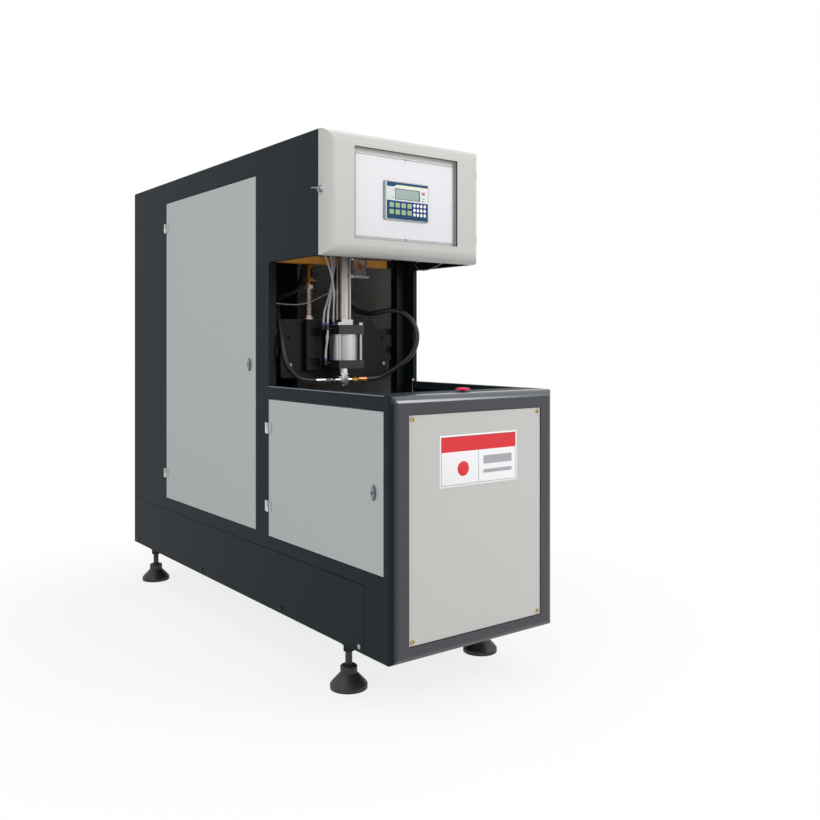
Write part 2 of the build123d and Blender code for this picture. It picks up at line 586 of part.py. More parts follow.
save("box_door", box_door)
save("hinge_halves", hinges)

# White plate in the recess, with a window for the text display
PLATE_EDGE = 7.0
PLATE_SHEET = 3.0
DISPLAY_X = 100.0
DISPLAY_LIFT = 211.0
DISPLAY_Z = ARM_BOTTOM + DISPLAY_LIFT
DISPLAY_HIGH = 70.0
plate_back = BOX_FRONT + RECESS_DEPTH
plate_low = RECESS_LOW + PLATE_EDGE
plate_high = RECESS_HIGH - PLATE_TOP_GAP
inset_x = recess_x - PLATE_EDGE
inset = block(-inset_x, inset_x, plate_back - PLATE_SHEET, plate_back, plate_low, plate_high)
inset = fillet(inset.edges().filter_by(Axis.Y), 12)
inset -= block(
    -DISPLAY_X + 6, DISPLAY_X - 6, plate_back - 9, plate_back + 9,
    DISPLAY_Z - DISPLAY_HIGH + 6, DISPLAY_Z + DISPLAY_HIGH - 6,
)
plate_mid = (plate_low + plate_high) / 2
for x, z in (
    (0, plate_high - 10), (0, plate_low + 10), (-recess_x + 17, plate_mid), (recess_x - 17, plate_mid),
):
    inset += Pos(x, at(plate_back - PLATE_SHEET - 1), z) * Rot(90, 0, 0) * Cylinder(5, 2.2)
save("inset_plate", inset)
display = block(
    -DISPLAY_X, DISPLAY_X, plate_back - PLATE_SHEET - 6, plate_back - PLATE_SHEET,
    DISPLAY_Z - DISPLAY_HIGH, DISPLAY_Z + DISPLAY_HIGH,
)
display = fillet(display.edges().filter_by(Axis.Y), 4)
display += block(
    -DISPLAY_X + 7, DISPLAY_X - 7, plate_back - PLATE_SHEET, plate_back + 22,
    DISPLAY_Z - DISPLAY_HIGH + 7, DISPLAY_Z + DISPLAY_HIGH - 7,
)
save("text_display", display)

# Lock of the control box: barrel, key and cam
lock = across(LOCK_RADIUS - RUN_FIT, -HALF - 6, -HALF + 18, LOCK_T, LOCK_Z)
lock += across(12, -HALF - 8, -HALF - SLIDE_GAP, LOCK_T, LOCK_Z)
lock += block(-HALF - 24, -HALF - 6, LOCK_T - 3.5, LOCK_T + 3.5, LOCK_Z - 1.5, LOCK_Z + 1.5)
bow = Pos(-HALF - 27.5, at(LOCK_T), LOCK_Z) * Cylinder(10.5, 3)
lock += bow
lock += block(-HALF + 17, -HALF + 20, LOCK_T - 7, LOCK_T + 7, LOCK_Z - 34, LOCK_Z + 7)
save("box_lock", lock)

# Emergency stop in the front rail: collar, then the sprung mushroom button
ESTOP_TRAVEL = 4.0
ESTOP_STEM = 8.0
ESTOP_CAP = 20.0
ESTOP_COLLAR = 23.0
COLLAR_THICK = 1.5
bore = upright(ESTOP_STEM + 0.3, 0, ESTOP_T, TABLE_TOP - 44, TABLE_TOP + 9)
collar = upright(ESTOP_COLLAR, 0, ESTOP_T, TABLE_TOP, TABLE_TOP + COLLAR_THICK)
collar += upright(ESTOP_BODY, 0, ESTOP_T, TABLE_TOP - 45, TABLE_TOP + 1)
save("stop_collar", collar - bore)
cap_low = TABLE_TOP + COLLAR_THICK + ESTOP_TRAVEL + 0.5
mushroom = upright(ESTOP_CAP, 0, ESTOP_T, cap_low, cap_low + 6)
mushroom = fillet(mushroom.edges().sort_by(Axis.Z)[-1], 4)
mushroom += upright(ESTOP_STEM, 0, ESTOP_T, TABLE_TOP - 36, cap_low + 1)
save("stop_button", mushroom)

# Painted cross beam between the posts, under the arm
SCREW_X = -124.0
SCREW_T = PLATE_FACE + PLATE_THICK / 2
SCREW_RADIUS = 12.0
SCREW_RISE = 34.0
beam = block(-POST_IN, POST_IN - BEAM_BRACKET, BEAM_FRONT, BEAM_FRONT + BEAM_DEPTH, BEAM_LOW, BEAM_HIGH)
beam -= upright(SCREW_RADIUS + 1, SCREW_X, SCREW_T, BEAM_LOW - 1, BEAM_HIGH + 1)
save("cross_beam", beam)

# Height screw between the beam and the head plate, with its nuts and rings
SCREW_FOOT = 24.0
SCREW_NECK = 17.0
LOCK_NUT_DROP = 92.0
LOCK_NUT_STEP = 28.0
screw = upright(SCREW_RADIUS, SCREW_X, SCREW_T, PLATE_TOP, BEAM_HIGH + SCREW_RISE)
screw += upright(SCREW_FOOT, SCREW_X, SCREW_T, PLATE_TOP, PLATE_TOP + 6)
screw += upright(SCREW_NECK, SCREW_X, SCREW_T, PLATE_TOP + 6, PLATE_TOP + 16)
for drop in (LOCK_NUT_DROP, LOCK_NUT_DROP - LOCK_NUT_STEP):
    screw += Pos(SCREW_X, at(SCREW_T), BEAM_LOW - drop) * hexagon(34, 14)
for z in (BEAM_LOW - 9, BEAM_HIGH + 9):
    screw += Pos(SCREW_X, at(SCREW_T), z) * hexagon(36, 18)
save("height_screw", screw)

# Head plate with its guide block; the cylinders bolt to the front of it
PLATE_SIDE = 98.5
NOTCH_X = 188.0
NOTCH_HIGH = 56.0
GUIDE_LEFT = -152.0
GUIDE_RIGHT = -78.0
GUIDE_DEEP = 26.0
GUIDE_LIFT = 31.0
GUIDE_SLOTS = (61.0, 181.0)
SLOT_LEFT = -136.0
SLOT_RIGHT = -92.0
BOLT_HEAD = 6.5
BOLT_SHANK = 4.0
PLATE_X = HALF - PLATE_SIDE
plate = block(-PLATE_X, PLATE_X, PLATE_FACE, PLATE_FACE + PLATE_THICK, PLATE_LOW, PLATE_TOP)
plate = fillet(plate.edges().filter_by(Axis.Y), 8)
plate -= block(NOTCH_X, PLATE_X + 1, PLATE_FACE - 1, PLATE_FACE + 30, PLATE_TOP - NOTCH_HIGH, PLATE_TOP + 1)
guide = block(
    GUIDE_LEFT, GUIDE_RIGHT, PLATE_FACE - GUIDE_DEEP, PLATE_FACE, PLATE_LOW + GUIDE_LIFT, PLATE_TOP - 4,
)
guide = fillet(guide.edges().filter_by(Axis.Z).sort_by(Axis.Y)[:2], 5)
for lift in GUIDE_SLOTS:
    guide -= block(
        SLOT_LEFT, SLOT_RIGHT, PLATE_FACE - GUIDE_DEEP - 1, PLATE_FACE - 12,
        PLATE_LOW + lift - 15, PLATE_LOW + lift + 15,
    )
plate += guide
PLATE_BOLTS = [(x, PLATE_LOW + lift) for x in (-PLATE_X + 40, PLATE_X - 18) for lift in (52.0, 161.0)]
cap_screws = []
for x, z in PLATE_BOLTS:
    plate -= Pos(x, at(PLATE_FACE), z) * Rot(90, 0, 0) * Cylinder(BOLT_SHANK + 0.1, 60)
    bolt = Pos(x, at(PLATE_FACE - 4), z) * Rot(90, 0, 0) * Cylinder(BOLT_HEAD, 8)
    bolt -= Pos(x, at(PLATE_FACE - 6), z) * Rot(90, 0, 0) * hexagon(6, 8)
    bolt += Pos(x, at(PLATE_FACE + 6), z) * Rot(90, 0, 0) * Cylinder(BOLT_SHANK, 12)
    cap_screws.append(bolt)
# Screws of the skirt, and of the service panel
SKIRT_SCREW_LIFT = 20.0
SKIRT_SCREWS = (SKIRT_FRONT + 26, ARM_FRONT + 264, FOOT_REAR - 660, LENGTH - 50)
for side in (-1, 1):
    for t in SKIRT_SCREWS:
        head = Pos(side * (HALF + 2), at(t), BODY_LIFT + SKIRT_SCREW_LIFT) * Rot(0, 90, 0) * Cylinder(8, 4)
        cap_screws.append(head)
for x in (-REAR_X + 14, REAR_X - 14):
    for z in (REAR_LOW + 14, REAR_HIGH - 14):
        cap_screws.append(Pos(x, at(LENGTH + REAR_SHEET + 1.51), z) * Rot(90, 0, 0) * Cylinder(7, 3))
save("head_plate", plate)
save("cap_screws", cap_screws)

# Seal cylinder: two square end covers, a polished barrel, and four tie rods
ROD_BORE = ROD_RADIUS + 0.35
BARREL_WALL = 4.0
TIE_ROD = 5.0
TIE_ROD_INSET = 9.0
half_cap = SEAL_SIZE / 2
corner = half_cap - TIE_ROD_INSET
caps = block(-half_cap, half_cap, HEAD_T - half_cap, HEAD_T + half_cap, SEAL_LOW, SEAL_BARREL_LOW)
caps -= upright(STEM_RADIUS + RUN_FIT, 0, HEAD_T, SEAL_LOW - 1, SEAL_BARREL_LOW + 1)
top_cap = block(-half_cap, half_cap, HEAD_T - half_cap, HEAD_T + half_cap, SEAL_BARREL_HIGH, SEAL_HIGH)
top_cap -= upright(ROD_RADIUS + RUN_FIT, 0, HEAD_T, SEAL_BARREL_HIGH - 1, SEAL_HIGH + 1)
lugs = []
for z0, z1 in ((SEAL_LOW, SEAL_BARREL_LOW), (SEAL_BARREL_HIGH, SEAL_HIGH)):
    lugs.append(block(-half_cap + 10, half_cap - 10, HEAD_T + half_cap, PLATE_FACE, z0, z1))
seal_ties = []
for x in (-corner, corner):
    for t in (HEAD_T - corner, HEAD_T + corner):
        caps -= upright(TIE_ROD, x, t, SEAL_LOW - 1, SEAL_BARREL_LOW + 1)
        top_cap -= upright(TIE_ROD, x, t, SEAL_BARREL_HIGH - 1, SEAL_HIGH + 1)
        rod = upright(TIE_ROD, x, t, SEAL_LOW, SEAL_HIGH + 2)
        rod += Pos(x, at(t), SEAL_HIGH + 5) * hexagon(14, 10)
        seal_ties.append(rod)
save("seal_covers", [caps + lugs[0], top_cap + lugs[1]])
save("seal_tie_rods", seal_ties)
barrel = upright(SEAL_BARREL_RADIUS, 0, HEAD_T, SEAL_BARREL_LOW, SEAL_BARREL_HIGH)
barrel -= upright(SEAL_BARREL_RADIUS - BARREL_WALL, 0, HEAD_T, SEAL_BARREL_LOW - 1, SEAL_BARREL_HIGH + 1)
save("seal_barrel", barrel)

# Blow nozzle: hollow stem with its piston, lock nut, tee and sealing tip, one moving piece
SEAL_STROKE = 25.0
TIP_DROP = 26.0
SEAL_PISTON_DROP = 10.0
SEAL_PISTON_HIGH = 20.0
FITTING_X = 132.0
NOZZLE_TIP = TEE_Z - TIP_DROP
piston_top = SEAL_BARREL_HIGH - SEAL_PISTON_DROP
nozzle = upright(STEM_RADIUS, 0, HEAD_T, NOZZLE_TIP + 6, SEAL_BARREL_HIGH - 2)
seal_bore = SEAL_BARREL_RADIUS - BARREL_WALL
nozzle += upright(seal_bore - RUN_FIT, 0, HEAD_T, piston_top - SEAL_PISTON_HIGH, piston_top)
nozzle += Pos(0, at(HEAD_T), SEAL_LOW - 12) * hexagon(28, 20)
nozzle += upright(20, 0, HEAD_T, SEAL_LOW - 27, SEAL_LOW - 21)
nozzle += Pos(0, at(HEAD_T), TEE_Z - 3) * hexagon(38, 34)
nozzle += Pos(0, at(HEAD_T), NOZZLE_TIP + 3) * Cone(11, 15, 6)
nozzle += across(7, -66, 40, HEAD_T, TEE_Z)
nozzle += Pos(-52, at(HEAD_T), TEE_Z) * Rot(0, 90, 0) * hexagon(19, 16)
nozzle += Pos(-78, at(HEAD_T), TEE_Z) * Rot(0, 90, 0) * hexagon(19, 26)
nozzle += across(10, -FITTING_X, -90, HEAD_T, TEE_Z)
nozzle -= upright(ROD_BORE, 0, HEAD_T, NOZZLE_TIP - 1, SEAL_BARREL_HIGH + 1)
save("blow_nozzle", nozzle)
BRASS_END = 106.0
brass = Pos(47, at(HEAD_T), TEE_Z) * Rot(0, 90, 0) * hexagon(22, 14)
brass += Pos(61, at(HEAD_T), TEE_Z) * Rot(0, 90, 0) * hexagon(17, 14)
brass += across(12, 68, BRASS_END, HEAD_T, TEE_Z)
save("brass_fitting", brass)

# Stretch cylinder above it: a barrel between two covers with four tie rods, and a position switch
STRETCH_TOP_DROP = 80.0
STRETCH_COVER = 27.0
STRETCH_COVER_LOW = 22.0
STRETCH_COVER_HIGH = 24.0
STRETCH_RADIUS = 22.0
STRETCH_BORE = 17.0
STRETCH_TIE = 4.0
STRETCH_TIE_X = 18.5
STRETCH_PISTON_GAP = 18.0
STRETCH_PISTON_HIGH = 16.0
POSITION_SWITCH_Z = SEAL_HIGH + 133
BARREL_TOP = HEIGHT - STRETCH_TOP_DROP
PISTON_TOP = BARREL_TOP - STRETCH_PISTON_GAP
cover_top = SEAL_HIGH + STRETCH_COVER_LOW
stretch = Part()
for z0, z1 in ((SEAL_HIGH, cover_top), (BARREL_TOP, BARREL_TOP + STRETCH_COVER_HIGH)):
    stretch += block(-STRETCH_COVER, STRETCH_COVER, HEAD_T - STRETCH_COVER, HEAD_T + STRETCH_COVER, z0, z1)
stretch += upright(STRETCH_RADIUS, 0, HEAD_T, cover_top - 2, BARREL_TOP + 4)
stretch -= upright(STRETCH_BORE, 0, HEAD_T, cover_top, BARREL_TOP)
stretch -= upright(ROD_RADIUS + RUN_FIT, 0, HEAD_T, SEAL_HIGH - 1, cover_top + 8)
for x in (-STRETCH_TIE_X, STRETCH_TIE_X):
    for t in (HEAD_T - STRETCH_TIE_X, HEAD_T + STRETCH_TIE_X):
        stretch += upright(STRETCH_TIE, x, t, cover_top - 12, BARREL_TOP + 10)
# Clamp block that carries the arm of the pressure switch
SWITCH_LIFT = 191.0
SWITCH_ARM = 12.0
arm_low = SEAL_HIGH + SWITCH_LIFT
stretch += block(12, STRETCH_COVER, HEAD_T - STRETCH_COVER, HEAD_T - 10, arm_low, arm_low + SWITCH_ARM)
switch_low = POSITION_SWITCH_Z - 12
stretch += block(-33, -12, HEAD_T + 21, HEAD_T + 37, switch_low, POSITION_SWITCH_Z + 12)
save("stretch_cylinder", stretch)
rod = upright(ROD_RADIUS, 0, HEAD_T, NOZZLE_TIP + 2, PISTON_TOP)
rod += upright(STRETCH_BORE - RUN_FIT, 0, HEAD_T, PISTON_TOP - STRETCH_PISTON_HIGH, PISTON_TOP)
save("stretch_rod", rod)

# Blow valves on a bracket behind the beam
VALVE_SETBACK = 180.0
VALVE_BLOCK_X = 130.0
VALVE_BLOCK_HIGH = 48.0
VALVE_X = 80.0
VALVE_RADIUS = 22.0
VALVE_HIGH = 65.0
VALVE_PORT = 12.0
PORT_DROP = 12.0
BRACKET_THICK = 5.0
valve_t = HEAD_T + VALVE_SETBACK
valve_low = BEAM_HIGH - 2
valve_top = valve_low + VALVE_BLOCK_HIGH
port_low = valve_low - PORT_DROP
valves = block(-VALVE_BLOCK_X, VALVE_BLOCK_X, valve_t - 30, valve_t + 30, valve_low, valve_top)
valves += block(
    -VALVE_BLOCK_X, VALVE_BLOCK_X, BEAM_FRONT + 4, valve_t, BEAM_HIGH, BEAM_HIGH + BRACKET_THICK
)
valves -= upright(SCREW_RADIUS + 9, SCREW_X, SCREW_T, BEAM_HIGH - 1, BEAM_HIGH + 9)
for x in (-VALVE_X, VALVE_X):
    valves += upright(VALVE_RADIUS, x, valve_t, valve_top, valve_top + VALVE_HIGH)
    valves += upright(VALVE_PORT, x, valve_t, port_low, valve_low + 2)
save("blow_valves", valves)


def hose(points, radius, share=0.45):
    """A hose along straight runs joined by tangent arcs, and the radii of its bends."""
    spots = [Vector(x, at(t), z) for x, t, z in points]
    radii = []
    for before, here, after in zip(spots, spots[1:], spots[2:]):
        one = here - before
        two = after - here
        turn = math.radians(one.get_angle(two))
        radii.append(share * min(one.length, two.length) / math.tan(turn / 2))
    path = FilletPolyline(*spots, radius=radii)
    start = Plane(origin=spots[0], z_dir=(spots[1] - spots[0]).normalized())
    tube = sweep(start * Circle(radius), path)
    want = math.pi * radius ** 2 * path.length
    print("least bend", round(min(radii), 1), "volume ratio", round(tube.volume / want, 4))
    return tube


HOSE_RADIUS = 10.0
left_run = [
    (-FITTING_X, HEAD_T, TEE_Z), (-186, HEAD_T, TEE_Z), (-234, HEAD_T - 5, TEE_Z + 23),
    (-268, HEAD_T - 6, TEE_Z + 69), (-279, HEAD_T + 1, TEE_Z + 129), (-273, HEAD_T + 25, TEE_Z + 189),
    (-273, HEAD_T + 51, TEE_Z + 250), (-261, HEAD_T + 80, port_low - 177),
    (-226, HEAD_T + 112, port_low - 143),
    (-180, HEAD_T + 145, port_low - 136), (-134, HEAD_T + 161, port_low - 122),
    (-98, HEAD_T + 174, port_low - 88),
    (-VALVE_X, valve_t, port_low - 42), (-VALVE_X, valve_t, port_low),
]
right_run = [
    (BRASS_END, HEAD_T, TEE_Z), (154, HEAD_T, TEE_Z), (198, HEAD_T - 12, TEE_Z + 16),
    (243, HEAD_T - 48, TEE_Z + 51), (282, HEAD_T - 84, TEE_Z + 96), (299, HEAD_T - 99, TEE_Z + 151),
    (299, HEAD_T - 95, TEE_Z + 204), (283, HEAD_T - 77, TEE_Z + 248), (255, HEAD_T - 47, TEE_Z + 277),
    (223, HEAD_T - 11, port_low - 195), (191, HEAD_T + 27, port_low - 206),
    (163, HEAD_T + 72, port_low - 212),
    (127, HEAD_T + 124, port_low - 191), (96, HEAD_T + 163, port_low - 134),
    (VALVE_X, valve_t, port_low - 60),
    (VALVE_X, valve_t, port_low),
]
save("blow_hose_left", hose(left_run, HOSE_RADIUS))
save("blow_hose_right", hose(right_run, HOSE_RADIUS))

# Push-in elbows on the covers of the seal cylinder, and the thin air tubes that run up to the valves
ELBOW_RADIUS = 5.5
ELBOW_LEG = 4.5
ELBOW_OUT = 28.0
ELBOW_RISE = 20.0
TUBE_RADIUS = 4.0
CABLE_RADIUS = 2.0
elbow_x = -half_cap - ELBOW_OUT
low_leg = SEAL_BARREL_LOW - 12
high_leg = SEAL_HIGH - 14
elbows = []
for t, z, drop in ((HEAD_T - 20, high_leg, 7.0), (HEAD_T + 12, high_leg, 6.0), (HEAD_T - 4, low_leg, 6.0)):
    elbow = across(ELBOW_LEG, -half_cap, elbow_x, t, z)
    elbow += upright(ELBOW_RADIUS, elbow_x, t, z - drop, z + ELBOW_RISE)
    elbows.append(elbow)
CAP_FITTING_X = -51.0
cap_tube_t = HEAD_T - 4
elbows.append(upright(7, CAP_FITTING_X, cap_tube_t, SEAL_HIGH, SEAL_HIGH + 13))
save("push_elbows", elbows)
tube_low = high_leg + ELBOW_RISE
valve_front = valve_t - 30
entry_z = valve_low + 36
tubes = [
    hose([
        (elbow_x, HEAD_T + 12, tube_low), (elbow_x, HEAD_T + 12, tube_low + 40),
        (-68, HEAD_T + 14, tube_low + 88),
        (-55, HEAD_T + 12, tube_low + 138), (-45, HEAD_T + 9, tube_low + 188), (-39, HEAD_T + 5, BEAM_LOW),
        (-37, HEAD_T + 14, entry_z - 21), (-35, HEAD_T + 41, entry_z + 9), (-32, HEAD_T + 87, entry_z + 13),
        (-30, valve_front - 20, entry_z), (-30, valve_front, entry_z),
    ], TUBE_RADIUS),
    hose([
        (elbow_x, HEAD_T - 20, tube_low), (elbow_x, HEAD_T - 20, tube_low + 40),
        (-73, HEAD_T - 12, tube_low + 90),
        (-56, HEAD_T - 5, tube_low + 146), (-54, HEAD_T - 3, tube_low + 196), (-55, HEAD_T, BEAM_LOW),
        (-55, HEAD_T + 10, entry_z - 21), (-56, HEAD_T + 37, entry_z + 9), (-55, HEAD_T + 85, entry_z + 13),
        (-55, valve_front - 20, entry_z), (-55, valve_front, entry_z),
    ], TUBE_RADIUS),
    hose([
        (CAP_FITTING_X, cap_tube_t, SEAL_HIGH + 13), (CAP_FITTING_X, cap_tube_t, SEAL_HIGH + 60),
        (-55, HEAD_T - 17, SEAL_HIGH + 116), (-68, HEAD_T - 26, SEAL_HIGH + 172),
        (-82, HEAD_T - 27, SEAL_HIGH + 222), (-98, HEAD_T - 23, BEAM_LOW + 16),
        (-94, HEAD_T - 2, entry_z - 4), (-86, HEAD_T + 44, entry_z + 4), (-80, HEAD_T + 98, entry_z + 2),
        (-80, valve_front, entry_z),
    ], TUBE_RADIUS),
    hose([
        (elbow_x, HEAD_T - 4, low_leg + ELBOW_RISE), (elbow_x, HEAD_T - 4, low_leg + ELBOW_RISE + 35),
        (elbow_x, HEAD_T - 20, high_leg - 42), (elbow_x, HEAD_T - 20, high_leg - 7),
    ], TUBE_RADIUS),
    # Thin cable from the position switch to the left post
    hose([
        (-POST_IN, POST_FRONT + 10, POSITION_SWITCH_Z - 50), (-236, POST_FRONT + 9, POSITION_SWITCH_Z - 54),
        (-184, POST_FRONT + 7, POSITION_SWITCH_Z - 54), (-136, POST_FRONT + 6, POSITION_SWITCH_Z - 43),
        (-92, POST_FRONT + 4, POSITION_SWITCH_Z - 23), (-58, POST_FRONT + 1, POSITION_SWITCH_Z - 4),
        (-33, POST_FRONT - 1, POSITION_SWITCH_Z),
    ], CABLE_RADIUS),
]
save("air_tubes", tubes)

# Clear-covered pressure switch on an arm from the stretch cylinder
SWITCH_HIGH = 66.0
SWITCH_LEFT = 36.0
SWITCH_RIGHT = 98.0
DIAL_RADIUS = 27.0
case_low = arm_low + SWITCH_ARM
switch = block(STRETCH_COVER, SWITCH_RIGHT + 8, HEAD_T - 24, HEAD_T - 12, arm_low, case_low)
switch += block(SWITCH_LEFT, SWITCH_RIGHT, HEAD_T - 12, HEAD_T + 18, case_low - 4, case_low + SWITCH_HIGH)
switch += block(SWITCH_LEFT, SWITCH_RIGHT, HEAD_T - 20, HEAD_T - 12, case_low, case_low + SWITCH_HIGH)
dial_x = (SWITCH_LEFT + SWITCH_RIGHT) / 2
dial_z = case_low + SWITCH_HIGH / 2
switch += Pos(dial_x, at(HEAD_T - 23), dial_z) * Rot(90, 0, 0) * Cylinder(DIAL_RADIUS, 8)
save("pressure_switch", switch)

# Clamp: end plates on the rails, four tie bars, two sliding platens and two cylinders
END_PLATE_RISE = 5.0
END_FOOT_LONG = 60.0
END_FOOT_HIGH = 16.0


def turned(shape):
    """The same piece turned half round about the mould centre."""
    return Pos(0, at(HEAD_T), 0) * Rot(0, 0, 180) * Pos(0, -at(HEAD_T), 0) * shape


head_t = END_FACE - END_PLATE_THICK
end_plate_top = PLATEN_TOP + END_PLATE_RISE
end_plate = block(-END_X, END_X, head_t, END_FACE, RAIL_TOP, end_plate_top)
end_plate = fillet(end_plate.edges().filter_by(Axis.Y).sort_by(Axis.Z)[-2:], 40)
end_plate += block(-END_X, END_X, END_FACE, END_FACE + END_FOOT_LONG, RAIL_TOP, RAIL_TOP + END_FOOT_HIGH)
end_plate -= along(CLAMP_ROD + 1, 0, head_t - 30, END_FACE + 10, CLAMP_Z)
tie_bars = []
bar_rear = 2 * HEAD_T - head_t
for x in (-TIE_X, TIE_X):
    for z in (TIE_LOW, TIE_HIGH):
        end_plate -= along(TIE_RADIUS, x, head_t - 30, END_FACE + 60, z)
        bar = along(TIE_RADIUS, x, head_t, bar_rear, z)
        for t in (head_t - 10, bar_rear + 10):
            bar += Pos(x, at(t), z) * Rot(90, 0, 0) * hexagon(46, 20)
        tie_bars.append(bar)
save("end_plates", [end_plate, turned(end_plate)])
save("tie_bars", tie_bars)

CYL_WALL = 5.0
COVER_EDGE = 4.0
cyl_bore = CYL_RADIUS - CYL_WALL
cyl_front = head_t - CYL_COVER - CYL_LENGTH
cover_x = CYL_RADIUS + COVER_EDGE
cylinder = along(CYL_RADIUS, 0, cyl_front, head_t - CYL_COVER, CLAMP_Z)
cylinder -= along(cyl_bore, 0, cyl_front - 1, head_t - CYL_COVER + 1, CLAMP_Z)
cover = block(-cover_x, cover_x, head_t - CYL_COVER, head_t, CLAMP_Z - cover_x, CLAMP_Z + cover_x)
cover = fillet(cover.edges().filter_by(Axis.Y), 14)
cylinder += Pos(0, -CYL_COVER - CYL_LENGTH, 0) * cover
cylinder += cover - along(CLAMP_ROD + RUN_FIT, 0, head_t - CYL_COVER - 1, head_t + 1, CLAMP_Z)
save("clamp_cylinders", [cylinder, turned(cylinder)])

# Racks on the platens and the pinion between them keep the two halves in step
MODULE = 3.0
TEETH = 20
PITCH_RADIUS = MODULE * TEETH / 2
BACKLASH = 0.25
PRESSURE = math.radians(20)
PINION_INSET = 105.0
PINION_X = END_X - PINION_INSET
PIN_RADIUS = 10.0
PIN_BASE = 26.0
PIN_HEAD = 15.0
tooth_pitch = math.pi * MODULE
tooth_width = tooth_pitch / 2 - BACKLASH
base_radius = PITCH_RADIUS * math.cos(PRESSURE)


def involute(angle):
    """The involute function of a pressure angle."""
    return math.tan(angle) - angle


def half_angle(radius):
    """Half the angle that a pinion tooth spans at a radius."""
    local = math.acos(min(1.0, base_radius / radius))
    return tooth_width / 2 / PITCH_RADIUS + involute(PRESSURE) - involute(local)


pinion_points = []
FLANK = (26.4, 28.2, 29.4, 31.0, 32.6)
for tooth in range(TEETH):
    middle = 2 * math.pi * tooth / TEETH
    for radius in FLANK:
        angle = middle - half_angle(max(radius, base_radius))
        pinion_points.append((radius * math.cos(angle), radius * math.sin(angle)))
    for radius in reversed(FLANK):
        angle = middle + half_angle(max(radius, base_radius))
        pinion_points.append((radius * math.cos(angle), radius * math.sin(angle)))
wheel = extrude(make_face(Polyline(*pinion_points, close=True)), RACK_HIGH - RACK_LOW)
pinion = Pos(PINION_X, at(HEAD_T), RACK_LOW) * wheel
pinion -= upright(PIN_RADIUS + RUN_FIT, PINION_X, HEAD_T, RACK_LOW - 1, RACK_HIGH + 1)
save("sync_pinion", pinion)
stub = upright(PIN_RADIUS, PINION_X, HEAD_T, RAIL_TOP, RACK_HIGH + 4)
stub += upright(PIN_BASE, PINION_X, HEAD_T, RAIL_TOP, RACK_LOW - SEAM)
stub += upright(PIN_HEAD, PINION_X, HEAD_T, RACK_HIGH + SEAM, RACK_HIGH + 6)

RACK_FROM = HEAD_T - MOULD_ROOM / 2 - PLATEN_THICK
RACK_OVERRUN = 30.0
RACK_BACK = 14.0
ROOT_DEPTH = 1.25 * MODULE
TIP_HIGH = 0.9 * MODULE
RACK_TO = HEAD_T + RACK_OVERRUN
rack_points = [(-RACK_BACK, 0), (-ROOT_DEPTH, 0)]
tooth_t = HEAD_T - tooth_pitch * 8.5
while tooth_t < RACK_TO - 8:
    y = tooth_t - RACK_FROM
    half_root = tooth_width / 2 + ROOT_DEPTH * math.tan(PRESSURE)
    half_tip = tooth_width / 2 - TIP_HIGH * math.tan(PRESSURE)
    rack_points += [
        (-ROOT_DEPTH, y - half_root), (TIP_HIGH, y - half_tip),
        (TIP_HIGH, y + half_tip), (-ROOT_DEPTH, y + half_root),
    ]
    tooth_t += tooth_pitch
rack_points += [(-ROOT_DEPTH, RACK_TO - RACK_FROM), (-RACK_BACK, RACK_TO - RACK_FROM)]
rack = extrude(make_face(Polyline(*rack_points, close=True)), RACK_HIGH - RACK_LOW)
rack = Pos(PINION_X - PITCH_RADIUS, at(RACK_FROM), RACK_LOW) * rack
rack_face = PINION_X - PITCH_RADIUS - ROOT_DEPTH
rack += block(rack_face - 16, rack_face, RACK_FROM, RACK_FROM + PLATEN_THICK, RACK_LOW, PLATEN_LOW + 5)

MOULD_BOLT_X = 120.0
MOULD_BOLT_Z = 110.0
MOULD_HOLE = 6.0
PLATEN_SIDE = 10.0
BUSH_RADIUS = 30.0
BUSH_LONG = 26.0
ROD_BOSS = 45.0
ROD_BOSS_LONG = 22.0
CLAMP_PISTON_LONG = 24.0
platen_x = END_X - PLATEN_SIDE
clamp_bore_front = head_t - CYL_COVER


def platen(rack_bar):
    """A sliding platen with its bushings, mould holes, piston rod and rack."""
    body = block(-platen_x, platen_x, RACK_FROM, RACK_FROM + PLATEN_THICK, PLATEN_LOW, PLATEN_TOP)
    body = fillet(body.edges().filter_by(Axis.Y), 20)
    for x in (-TIE_X, TIE_X):
        for z in (TIE_LOW, TIE_HIGH):
            body += along(BUSH_RADIUS, x, RACK_FROM - BUSH_LONG, RACK_FROM, z)
            body -= along(TIE_RADIUS + RUN_FIT, x, RACK_FROM - 30, RACK_FROM + 60, z)
    for x in (-MOULD_BOLT_X, MOULD_BOLT_X):
        for z in (CLAMP_Z - MOULD_BOLT_Z, CLAMP_Z + MOULD_BOLT_Z):
            body -= along(MOULD_HOLE, x, RACK_FROM - 1, RACK_FROM + 60, z)
    piston_rear = clamp_bore_front - PLATEN_TRAVEL - 12
    body += along(ROD_BOSS, 0, RACK_FROM - ROD_BOSS_LONG, RACK_FROM, CLAMP_Z)
    body += along(CLAMP_ROD, 0, piston_rear - 8, RACK_FROM, CLAMP_Z)
    body += along(cyl_bore - RUN_FIT, 0, piston_rear - CLAMP_PISTON_LONG, piston_rear, CLAMP_Z)
    return body + rack_bar


save("platen_front", platen(rack))
rear_rack = Pos(PINION_X, at(HEAD_T), 0) * Rot(0, 0, 180) * Pos(-PINION_X, -at(HEAD_T), 0) * rack
rear_platen = turned(platen(Part()))
save("platen_rear", rear_platen + rear_rack)

